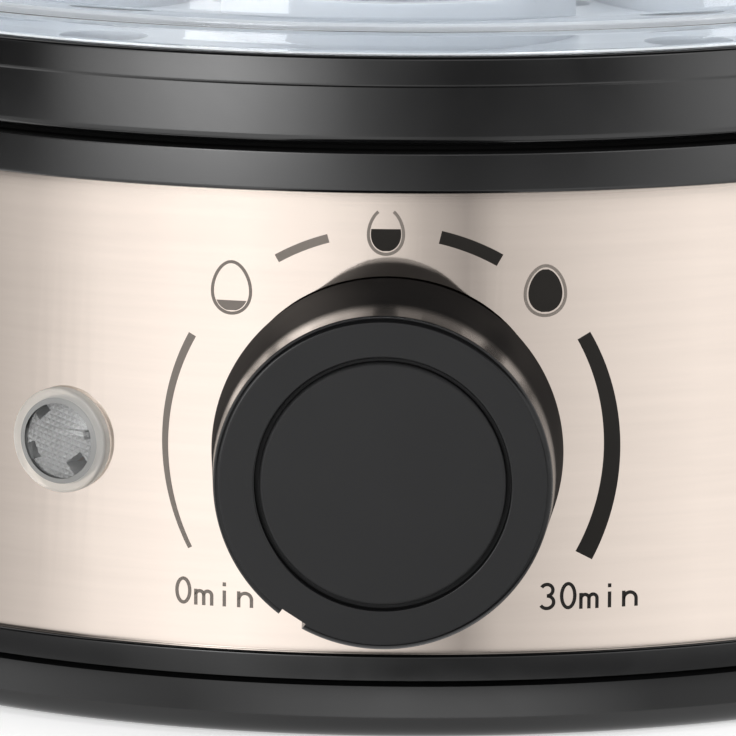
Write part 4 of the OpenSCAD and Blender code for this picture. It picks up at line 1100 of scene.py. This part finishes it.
@dataclass
class Lid:
    """Clear lid with a thick flange, steam holes in its crown and a turned grip."""

    lip: tuple[float, float, float] = (78.4, 79.9, 77.8)
    seat_z: float = 79.0
    flange_r: float = 85.2
    flange_top: float = 81.7
    flange_round: float = 0.6
    fillet: float = 1.1
    wall_r: float = 80.6
    shoulder: Point = (54.1, 129.0)
    shoulder_r: Point = (22.0, 19.8)
    foot_turn: float = -176.0
    crown_turn: float = 84.0
    crown_r: float = 14.0
    crown: Point = (153.12, 155.34)
    # Heights over the flange's top, in millimetres, between which faces get the painted highlight finish
    satin: Point = (-0.05, 0.275)
    hole_r: float = 2.1
    vent_r: float = 2.0
    vent_at: float = 27.0
    vent_angles: tuple[float, ...] = (90.0, 210.0, 330.0)
    spare: float = 10.0
    grip_h: float = 20.0
    grip_r: float = 14.0
    grip_foot: float = 1.4
    neck: tuple[float, float, float] = (9.0, 4.0, 11.6)
    grip_edge: tuple[float, float, float] = (15.0, 16.0, 3.0)
    screw_depth: float = 10.0

    def outline(self) -> list[Point]:
        """Section of the lid.

        Returns:
            Its points as radius and height.
        """
        lip_in, lip_out, lip_z = self.lip
        round_z = self.seat_z + self.flange_round
        top_z = self.flange_top - self.flange_round
        edge = self.flange_r - self.flange_round
        outer, inner = self.shoulder_r
        foot = (self.wall_r + self.fillet, self.flange_top + self.fillet)
        return [
            (lip_in, lip_z), (lip_out, lip_z), (lip_out, self.seat_z),
            *arc((edge, round_z), self.flange_round, -90, 0), *arc((edge, top_z), self.flange_round, 0, 90),
            *arc(foot, self.fillet, -90, self.foot_turn, 6),
            *arc(self.shoulder, outer, 0, self.crown_turn, 24),
            (self.crown_r, self.crown[1]), (0, self.crown[1]), (0, self.crown[0]),
            (self.crown_r, self.crown[0]), *arc(self.shoulder, inner, self.crown_turn, 0, 24),
            (lip_in, self.flange_top)]

    def grip(self) -> list[Point]:
        """Section of the grip, from the crown up.

        Returns:
            Its points as radius and height.
        """
        waist, flare, rise = self.neck
        neck = [(waist + flare * (1 - share) ** 2, self.grip_foot + rise * share)
                for share in spaced(0, 1, 10)]
        edge_r, edge_z, edge = self.grip_edge
        section = [(0, 0), (self.grip_r, 0), (self.grip_r, self.grip_foot), *neck,
                   *arc((edge_r, edge_z), edge, -90, 90, 12), (0, self.grip_h)]
        return [(r, z + self.crown[1]) for r, z in section]

    def build(self) -> None:
        """Makes the lid and its grip."""
        lid = revolve("lid_moulding", self.outline())
        reach = (self.crown[0] - self.spare, self.crown[1] + self.spare)
        holes = [rod(self.hole_r, *reach)]
        holes += [rod(self.vent_r, *reach, at) for at in around(self.vent_at, self.vent_angles)]
        place(carve(lid, holes), Body.LID, Slot.CLEAR_PLASTIC, "lid")
        low, high = ((self.flange_top + rise) * MM for rise in self.satin)
        # Painted highlight: the flange's top faces get the pale finish
        repaint(lid, FLANGE_HIGHLIGHT,
                lambda side: low < side.center.z < high and side.center.xy.length > self.lip[1] * MM)
        grip = revolve("lid_grip", self.grip())
        carve(grip, [rod(self.hole_r, reach[0], self.crown[1] + self.screw_depth)])
        place(grip, Body.LID, Slot.KNOB_BLACK, "lid_knob")


@dataclass
class Stroke:
    """One printed mark: a line of points across and above the knob's axis, with a width at each."""

    points: list[Point]
    widths: list[float]
    closed: bool = False


@dataclass
class DialPrint:
    """Dial marks printed on the band round the knob: times, arcs, dashes and three eggs."""

    ink: Point = (0.004, 0.03)
    dial_r: float = 25.9
    dash_r: float = 25.3
    pitch: float = 2.45
    digit_h: float = 3.2
    small_h: float = 1.85
    line: float = 0.4
    egg_line_w: float = 0.36
    egg_lean: float = 0.14
    thinnest: float = 0.05
    baseline: float = -18.8
    zero_w: float = 1.55
    three_w: Point = (1.4, 1.6)
    three_shares: Point = (0.48, 0.52)
    three_shift: float = -0.05
    dot: Point = (0.5, 0.95)
    n_legs: tuple[float, ...] = (-0.75, 0.75)
    m_legs: tuple[float, ...] = (-0.95, 0.0, 0.95)
    soft_at: Point = (-18.0, 18.3)
    medium_at: Point = (-0.3, 25.25)
    hard_at: Point = (17.9, 18.3)
    sweep_steps: int = 40
    dash_steps: int = 6
    egg_steps: int = 48
    fill_steps: int = 24
    oval_steps: int = 28
    dark: list[Stroke] = field(default_factory=list)
    grey: list[Stroke] = field(default_factory=list)

    def sweep(self, radius: float, angles: Point, widths: Point) -> Stroke:
        """Arc round the knob between two angles clockwise from the top, with a width at each end."""
        turns = [math.radians(turn) for turn in spaced(*angles, self.sweep_steps)]
        return Stroke([(radius * math.sin(turn), radius * math.cos(turn)) for turn in turns],
                      spaced(*widths, self.sweep_steps))

    def dash(self, start: Point, end: Point) -> Stroke:
        """Straight mark between two points."""
        points = list(zip(*(spaced(first, last, self.dash_steps) for first, last in zip(start, end))))
        return Stroke(points, [self.line] * len(points))

    @staticmethod
    def loop(start: float, end: float, steps: int) -> tuple[list[float], bool]:
        """Angles of a stretch of a loop in radians, and whether it closes and so leaves out the last one.

        Args:
            start: First angle in degrees.
            end: Last angle in degrees.
            steps: How many chords it has.

        Returns:
            The angles and whether the loop is closed.
        """
        turns = [math.radians(turn) for turn in spaced(start, end, steps)]
        closed = end - start == 360
        return turns[:-1] if closed else turns, closed

    def egg_point(self, centre: Point, size: Point, turn: float) -> Point:
        """Point of an egg's outline, which narrows toward its top."""
        lean = 1 - self.egg_lean * math.sin(turn)
        return (centre[0] + size[0] / 2 * lean * math.cos(turn), centre[1] + size[1] / 2 * math.sin(turn))

    def egg_line(self, centre: Point, size: Point, start: float = 0, end: float = 360) -> Stroke:
        """Outline of an egg, or a stretch of it.

        Args:
            centre: The egg's centre.
            size: Its width and height.
            start: First angle, anticlockwise from the right.
            end: Last angle.

        Returns:
            The mark.
        """
        turns, closed = self.loop(start, end, self.egg_steps)
        width = self.egg_line_w
        inset = (size[0] - width, size[1] - width)
        return Stroke([self.egg_point(centre, inset, turn) for turn in turns], [width] * len(turns), closed)

    def egg_fill(self, centre: Point, size: Point, low: float, high: float) -> Stroke:
        """Filled stretch of an egg between two heights, as shares of half its height.

        Args:
            centre: The egg's centre.
            size: Its width and height.
            low: The lower height.
            high: The upper height.

        Returns:
            The mark.
        """
        turns = [math.asin(level) for level in spaced(low, high, self.fill_steps)]
        points = [(centre[0], centre[1] + size[1] / 2 * math.sin(turn)) for turn in turns]
        widths = [max(self.thinnest, 2 * (self.egg_point(centre, size, turn)[0] - centre[0]))
                  for turn in turns]
        return Stroke(points, widths)

    def oval(self, centre: Point, size: Point, start: float, end: float) -> Stroke:
        """Stretch of an oval, with angles anticlockwise from the right.

        Args:
            centre: The oval's centre.
            size: Its width and height.
            start: First angle.
            end: Last angle.

        Returns:
            The mark.
        """
        turns, closed = self.loop(start, end, self.oval_steps)
        points = [(centre[0] + size[0] / 2 * math.cos(turn), centre[1] + size[1] / 2 * math.sin(turn))
                  for turn in turns]
        return Stroke(points, [self.line] * len(points), closed)

    def glyph(self, letter: str, x: float) -> list[Stroke]:
        """Strokes of one letter or figure.

        Args:
            letter: One of 0, 3, m, i and n.
            x: Its centre across.

        Returns:
            The strokes.
        """
        base, line = self.baseline, self.line
        tall, low = self.digit_h - line, self.small_h
        foot = base + line / 2
        if letter == "0":
            return [self.oval((x, foot + tall / 2), (self.zero_w, tall), 0, 360)]
        if letter == "3":
            upper, lower = zip(self.three_w, (tall * share for share in self.three_shares))
            left = x + self.three_shift
            return [self.oval((left, foot + tall - upper[1] / 2), upper, -90, 150),
                    self.oval((left, foot + lower[1] / 2), lower, -150, 90)]
        if letter == "i":
            start, end = self.dot
            return [self.dash((x, base), (x, base + low)),
                    self.dash((x, base + low + start), (x, base + low + end))]
        legs = {"n": self.n_legs, "m": self.m_legs}[letter]
        strokes = [self.dash((x + legs[0], base), (x + legs[0], base + low))]
        for left, right in zip(legs, legs[1:]):
            width = right - left
            middle = (x + (left + right) / 2, base + low - width / 2 - line / 2)
            bend = self.oval(middle, (width, width), 0, 180)
            leg = [(x + right, base), *bend.points]
            strokes.append(Stroke(leg, [line] * len(leg)))
        return strokes

    def word(self, text: str, left: float) -> list[Stroke]:
        """Strokes of a row of letters from its left end.

        Args:
            text: The letters.
            left: The row's left end.

        Returns:
            The strokes.
        """
        strokes: list[Stroke] = []
        for i, letter in enumerate(text):
            strokes += self.glyph(letter, left + self.pitch * (i + 0.5))
        return strokes

    def lay_out(self) -> None:
        """Fills the two inks' lists of strokes."""
        soft, medium, hard = self.soft_at, self.medium_at, self.hard_at
        self.grey = [
            self.sweep(self.dial_r, (-60.8, -118.0), (0.95, 0.5)),
            self.sweep(self.dash_r, (-30.2, -15.7), (1.0, 1.0)),
            self.egg_line(soft, (4.8, 6.3)), self.egg_fill(soft, (3.9, 5.4), -0.97, -0.55),
            self.egg_line(medium, (4.3, 5.6), 120, 420), self.egg_line(hard, (5.0, 6.1)),
            *self.word("0min", -24.9)]
        self.dark = [
            self.sweep(self.dial_r, (60.0, 119.0), (1.7, 2.2)),
            self.sweep(self.dash_r, (13.4, 30.0), (1.5, 1.5)),
            self.egg_fill(medium, (3.4, 4.6), -0.98, 0.12), self.egg_fill(hard, (3.9, 5.0), -0.98, 0.98),
            *self.word("30min", 17.2)]

    def on_band(self, point: Point, radius: float) -> Place:
        """Point of the print wrapped round the body."""
        turn = point[0] / WALL_R
        return (radius * math.sin(turn), -radius * math.cos(turn), DIAL_Z + point[1])

    def inked(self, name: str, strokes: Sequence[Stroke]) -> Piece:
        """Makes a thin raised mesh of strokes.

        Args:
            name: The object's name.
            strokes: The marks.

        Returns:
            The print.
        """
        points: list[Place] = []
        faces: list[Sequence[int]] = []
        for stroke in strokes:
            count = len(stroke.points)
            first = len(points)
            for i, point in enumerate(stroke.points):
                before = stroke.points[i - 1 if stroke.closed else max(i - 1, 0)]
                after = stroke.points[(i + 1) % count if stroke.closed else min(i + 1, count - 1)]
                along = Vector((after[0] - before[0], after[1] - before[1])).normalized()
                half = Vector((-along.y, along.x)) * stroke.widths[i] / 2
                left, right = Vector(point) + half, Vector(point) - half
                points += [self.on_band(side, WALL_R + rise) for side, rise in (
                    (left, self.ink[0]), (left, self.ink[1]), (right, self.ink[1]), (right, self.ink[0]))]
            for i in range(count if stroke.closed else count - 1):
                a, b = first + 4 * i, first + 4 * ((i + 1) % count)
                faces += [(a + k, a + (k + 1) % 4, b + (k + 1) % 4, b + k) for k in range(4)]
            if not stroke.closed:
                end = first + 4 * (count - 1)
                faces += [tuple(range(first, first + 4)), tuple(range(end, end + 4))]
        return solid(name, points, faces)

    def build(self) -> None:
        """Prints both inks."""
        self.lay_out()
        place(self.inked("dial_print_dark", self.dark), Body.BASE, Slot.KNOB_BLACK, finish=DARK_INK)
        place(self.inked("dial_print_grey", self.grey), Body.BASE, Slot.KNOB_BLACK, finish=GREY_INK)


class Innards:
    """Solids that keep their own shape: the rack, the dish and all that the case holds."""

    def build(self) -> None:
        """Gives each solid that still shows the finish of its slot."""
        for part in frame["record"]["subparts"]:
            kept = frame["nodes"][part["node"]]
            if kept.hide_render:
                continue
            finish = FINISHES[Slot(part["material_slot"])]
            for slot in kept.material_slots:
                slot.material = finish.material()
            LOG.info("%s keeps its solid, in %s", part["node"], finish.name)


# Studio


@dataclass(frozen=True)
class Softbox:
    """Soft lamp on a stand, turned to the object, which neither the camera nor a reflection shows."""

    name: str
    azimuth: float
    distance: float
    middle: float
    size: Point
    radiance: float

    def build(self, target: Vector) -> None:
        """Makes the lamp.

        Args:
            target: Point that it faces, in metres.
        """
        turn = math.radians(self.azimuth)
        at = Vector((self.distance * math.sin(turn), -self.distance * math.cos(turn), self.middle)) * MM
        width, height = (side * MM for side in self.size)
        lamp = bpy.data.lights.new(self.name, "AREA")
        lamp.shape, lamp.size, lamp.size_y = "RECTANGLE", width, height
        lamp.energy = self.radiance * math.pi * width * height
        stand = bpy.data.objects.new(self.name, lamp)
        stand.location = at
        stand.rotation_euler = (target - at).to_track_quat("-Z", "Y").to_euler()
        stand.visible_camera = stand.visible_glossy = False
        bpy.context.scene.collection.objects.link(stand)


def only_mirrored(sheet: Piece) -> None:
    """Marks a sheet as stage and shows it in reflections alone."""
    sheet.visible_camera = sheet.visible_diffuse = sheet.visible_shadow = sheet.visible_transmission = False


def sheet_round(name: str, turns: Sequence[float], rows: Sequence[Point]) -> Piece:
    """Makes a sheet that stands or lies round the body's front.

    Each of its lines leaves the body's wall at half its angle, so the wall mirrors it in one upright column.

    Args:
        name: The object's name.
        turns: Degrees from the front toward the right-hand side.
        rows: Its section as distance from the axis and height.

    Returns:
        The sheet.
    """
    points: list[Place] = []
    for turn in turns:
        a, half = math.radians(turn), math.radians(turn / 2)
        points += [(WALL_R * math.sin(half) + (far - WALL_R) * math.sin(a),
                    -WALL_R * math.cos(half) - (far - WALL_R) * math.cos(a), up) for far, up in rows]
    count = len(rows)
    faces = [(i * count + j, (i + 1) * count + j, (i + 1) * count + j + 1, i * count + j + 1)
             for i in range(len(turns) - 1) for j in range(count - 1)]
    return solid(name, points, faces)


@dataclass(frozen=True)
class Card:
    """Graded card for the metal and the gloss to mirror, with edges at a distance and a height."""

    name: str
    near: Point
    far: Point
    shades: tuple[Point, ...]

    def shade(self, turn: float) -> float:
        """The card's radiance at an angle, between the shades given.

        Args:
            turn: Degrees from the front toward the right-hand side.

        Returns:
            The radiance.
        """
        for (start, low), (end, high) in zip(self.shades, self.shades[1:]):
            if turn <= end:
                return low + (high - low) * (turn - start) / (end - start)
        return self.shades[-1][1]

    def build(self) -> None:
        """Makes the card."""
        turns = range(int(self.shades[0][0]), int(self.shades[-1][0]) + 1)
        sheet = sheet_round(self.name, turns, (self.near, self.far))
        glow = sheet.data.attributes.new("glow", "FLOAT", "POINT")
        glow.data.foreach_set("value", [self.shade(turn) for turn in turns for _ in (self.near, self.far)])
        paint = bare_material(self.name)
        tree = paint.node_tree
        level = node(tree, "ShaderNodeAttribute", attribute_name="glow").outputs["Fac"]
        show(tree, node(tree, "ShaderNodeEmission", {"Strength": level}))
        sheet.data.materials.append(paint)
        only_mirrored(sheet)


@dataclass
class Studio:
    """Camera, pale floor, white surroundings, soft lamps, and a flag and cards for reflections."""

    camera_at: Place = (26.5, -1061.8, 230.9)
    aim_at: Place = (-4.76, -0.12, 26.8)
    roll: float = 0.28
    lens: float = 429.2
    sensor: float = 36.0
    floor_side: float = 6000.0
    floor_z: float = -0.1
    floor_colour: Colour = (0.82, 0.82, 0.82)
    floor_glow: float = 0.5
    fill: float = 0.2
    flag_path: tuple[Point, ...] = ((440.0, 0.2), (1500.0, 0.2), (1500.0, 1500.0), (10.0, 1500.0))
    flag_turns: range = range(-85, 86)
    cards: tuple[Card, ...] = (
        Card("foot_card", (92.0, 0.5), (112.0, 0.5), (
            (-75, 1.1), (-60, 1.1), (-32, 0.62), (-16, 1.25), (0, 1.6), (20, 1.45), (32, 1.0),
            (41, 0.6), (85, 0.8))),
        Card("lip_card", (112.0, 0.5), (128.0, 0.5), (
            (-75, 0.3), (-45, 0.3), (-34, 0.7), (-24, 0.95), (-12, 0.4), (0, 0.1), (11, 0.0),
            (22, 0.05), (85, 0.35))),
        Card("near_card", (128.0, 0.5), (452.0, 0.5), (
            (-75, 0.45), (-60, 0.68), (-48, 1.0), (-35, 1.16), (-24, 1.2), (-12, 1.06), (-6, 0.92), (5, 0.5),
            (11, 0.36), (17, 0.58), (34, 0.82), (50, 1.0), (85, 1.03))),
        Card("far_card", (464.0, 0.5), (1500.0, 0.5), (
            (-75, 0.0), (-60, 0.1), (-36, 3.9), (-27, 4.5), (-6, 0.5), (8, 0.0), (32, 0.1),
            (56, 1.7), (85, 1.7))),
        Card("wall_card", (1450.0, 40.0), (1450.0, 620.0), (
            (-85, 0.2), (-55, 0.3), (-41, 2.0), (-30, 5.0), (-20, 3.2), (-8, 0.9), (22, 0.75),
            (37, 1.6), (85, 1.0))),
    )
    lamps: tuple[Softbox, ...] = (
        Softbox("left softbox", -27.0, 1400.0, 500.0, (460.0, 980.0), 8.0),
        Softbox("right softbox", 62.0, 1300.0, 455.0, (500.0, 900.0), 5.0),
        Softbox("top softbox", 0.0, 60.0, 1300.0, (800.0, 800.0), 2.2),
    )

    def camera(self) -> None:
        """Sets the camera at the photograph's viewing angle."""
        eye = Vector(self.camera_at)
        ahead = (Vector(self.aim_at) - eye).normalized()
        right = ahead.cross(Vector((0, 0, 1))).normalized()
        up = right.cross(ahead)
        tilt = math.radians(self.roll)
        across = math.cos(tilt) * right + math.sin(tilt) * up
        over = math.cos(tilt) * up - math.sin(tilt) * right
        data = bpy.data.cameras.new("camera")
        data.lens, data.sensor_width, data.clip_start = self.lens, self.sensor, 0.01
        view = bpy.data.objects.new("camera", data)
        turned = Matrix((across, over, -ahead)).transposed().to_4x4()
        view.matrix_world = Matrix.Translation(eye * MM) @ turned
        bpy.context.scene.collection.objects.link(view)
        bpy.context.scene.camera = view

    @staticmethod
    def seen(tree: Tree) -> Socket:
        """Value that is 1 for camera, glossy and transmission rays, and 0 for the rest.

        Args:
            tree: The tree of a material or of the surroundings.

        Returns:
            The value's socket.
        """
        rays = node(tree, "ShaderNodeLightPath").outputs
        both = math_node(tree, "MAXIMUM", rays["Is Camera Ray"], rays["Is Glossy Ray"])
        return math_node(tree, "MAXIMUM", both, rays["Is Transmission Ray"])

    def floor(self) -> None:
        """Lays the pale floor."""
        half = self.floor_side / 2
        corners = [(-half, -half, self.floor_z), (half, -half, self.floor_z), (half, half, self.floor_z),
                   (-half, half, self.floor_z)]
        sheet = solid("floor", corners, [(0, 1, 2, 3)])
        paint = bare_material("pale floor")
        tree = paint.node_tree
        glow = math_node(tree, "MULTIPLY", self.seen(tree), self.floor_glow)
        show(tree, node(tree, "ShaderNodeBsdfPrincipled", {
            "Base Color": (*self.floor_colour, 1), "Roughness": 0.7, "Specular IOR Level": 0.0,
            "Emission Color": (1, 1, 1, 1), "Emission Strength": glow}))
        sheet.data.materials.append(paint)

    def flag(self) -> None:
        """Hangs a black cloth in front of the object and over it, which only reflections show."""
        cloth = sheet_round("black_flag", self.flag_turns, self.flag_path)
        dye = bare_material("black cloth")
        show(dye.node_tree, node(dye.node_tree, "ShaderNodeBsdfPrincipled", {
            "Base Color": (0.01, 0.01, 0.01, 1), "Specular IOR Level": 0.0}))
        cloth.data.materials.append(dye)
        only_mirrored(cloth)

    def surroundings(self) -> None:
        """Makes white surroundings that add only a dim fill of light."""
        world = bpy.data.worlds.new("studio")
        bpy.context.scene.world = world
        world.use_nodes = True
        tree = world.node_tree
        tree.nodes.clear()
        strength = spread(tree, self.seen(tree), self.fill, 1.0)
        show(tree, node(tree, "ShaderNodeBackground", {"Color": (1, 1, 1, 1), "Strength": strength}),
             "ShaderNodeOutputWorld")

    def build(self) -> None:
        """Sets up the whole studio."""
        self.camera()
        self.floor()
        self.flag()
        for card in self.cards:
            card.build()
        self.surroundings()
        target = Vector(self.aim_at) * MM
        for lamp in self.lamps:
            lamp.build(target)
        bpy.context.scene.view_settings.view_transform = "Standard"


def main() -> None:
    """Builds the studio and every sub-assembly in order."""
    logging.basicConfig(level=logging.INFO, format="%(name)s: %(message)s")
    Studio().build()
    for part in (BaseShell(), SteelBand(), Rings(), TimerKnob(), Lamp(), Lid(), DialPrint(), Innards()):
        part.build()


if __name__ == "__main__":
    main()
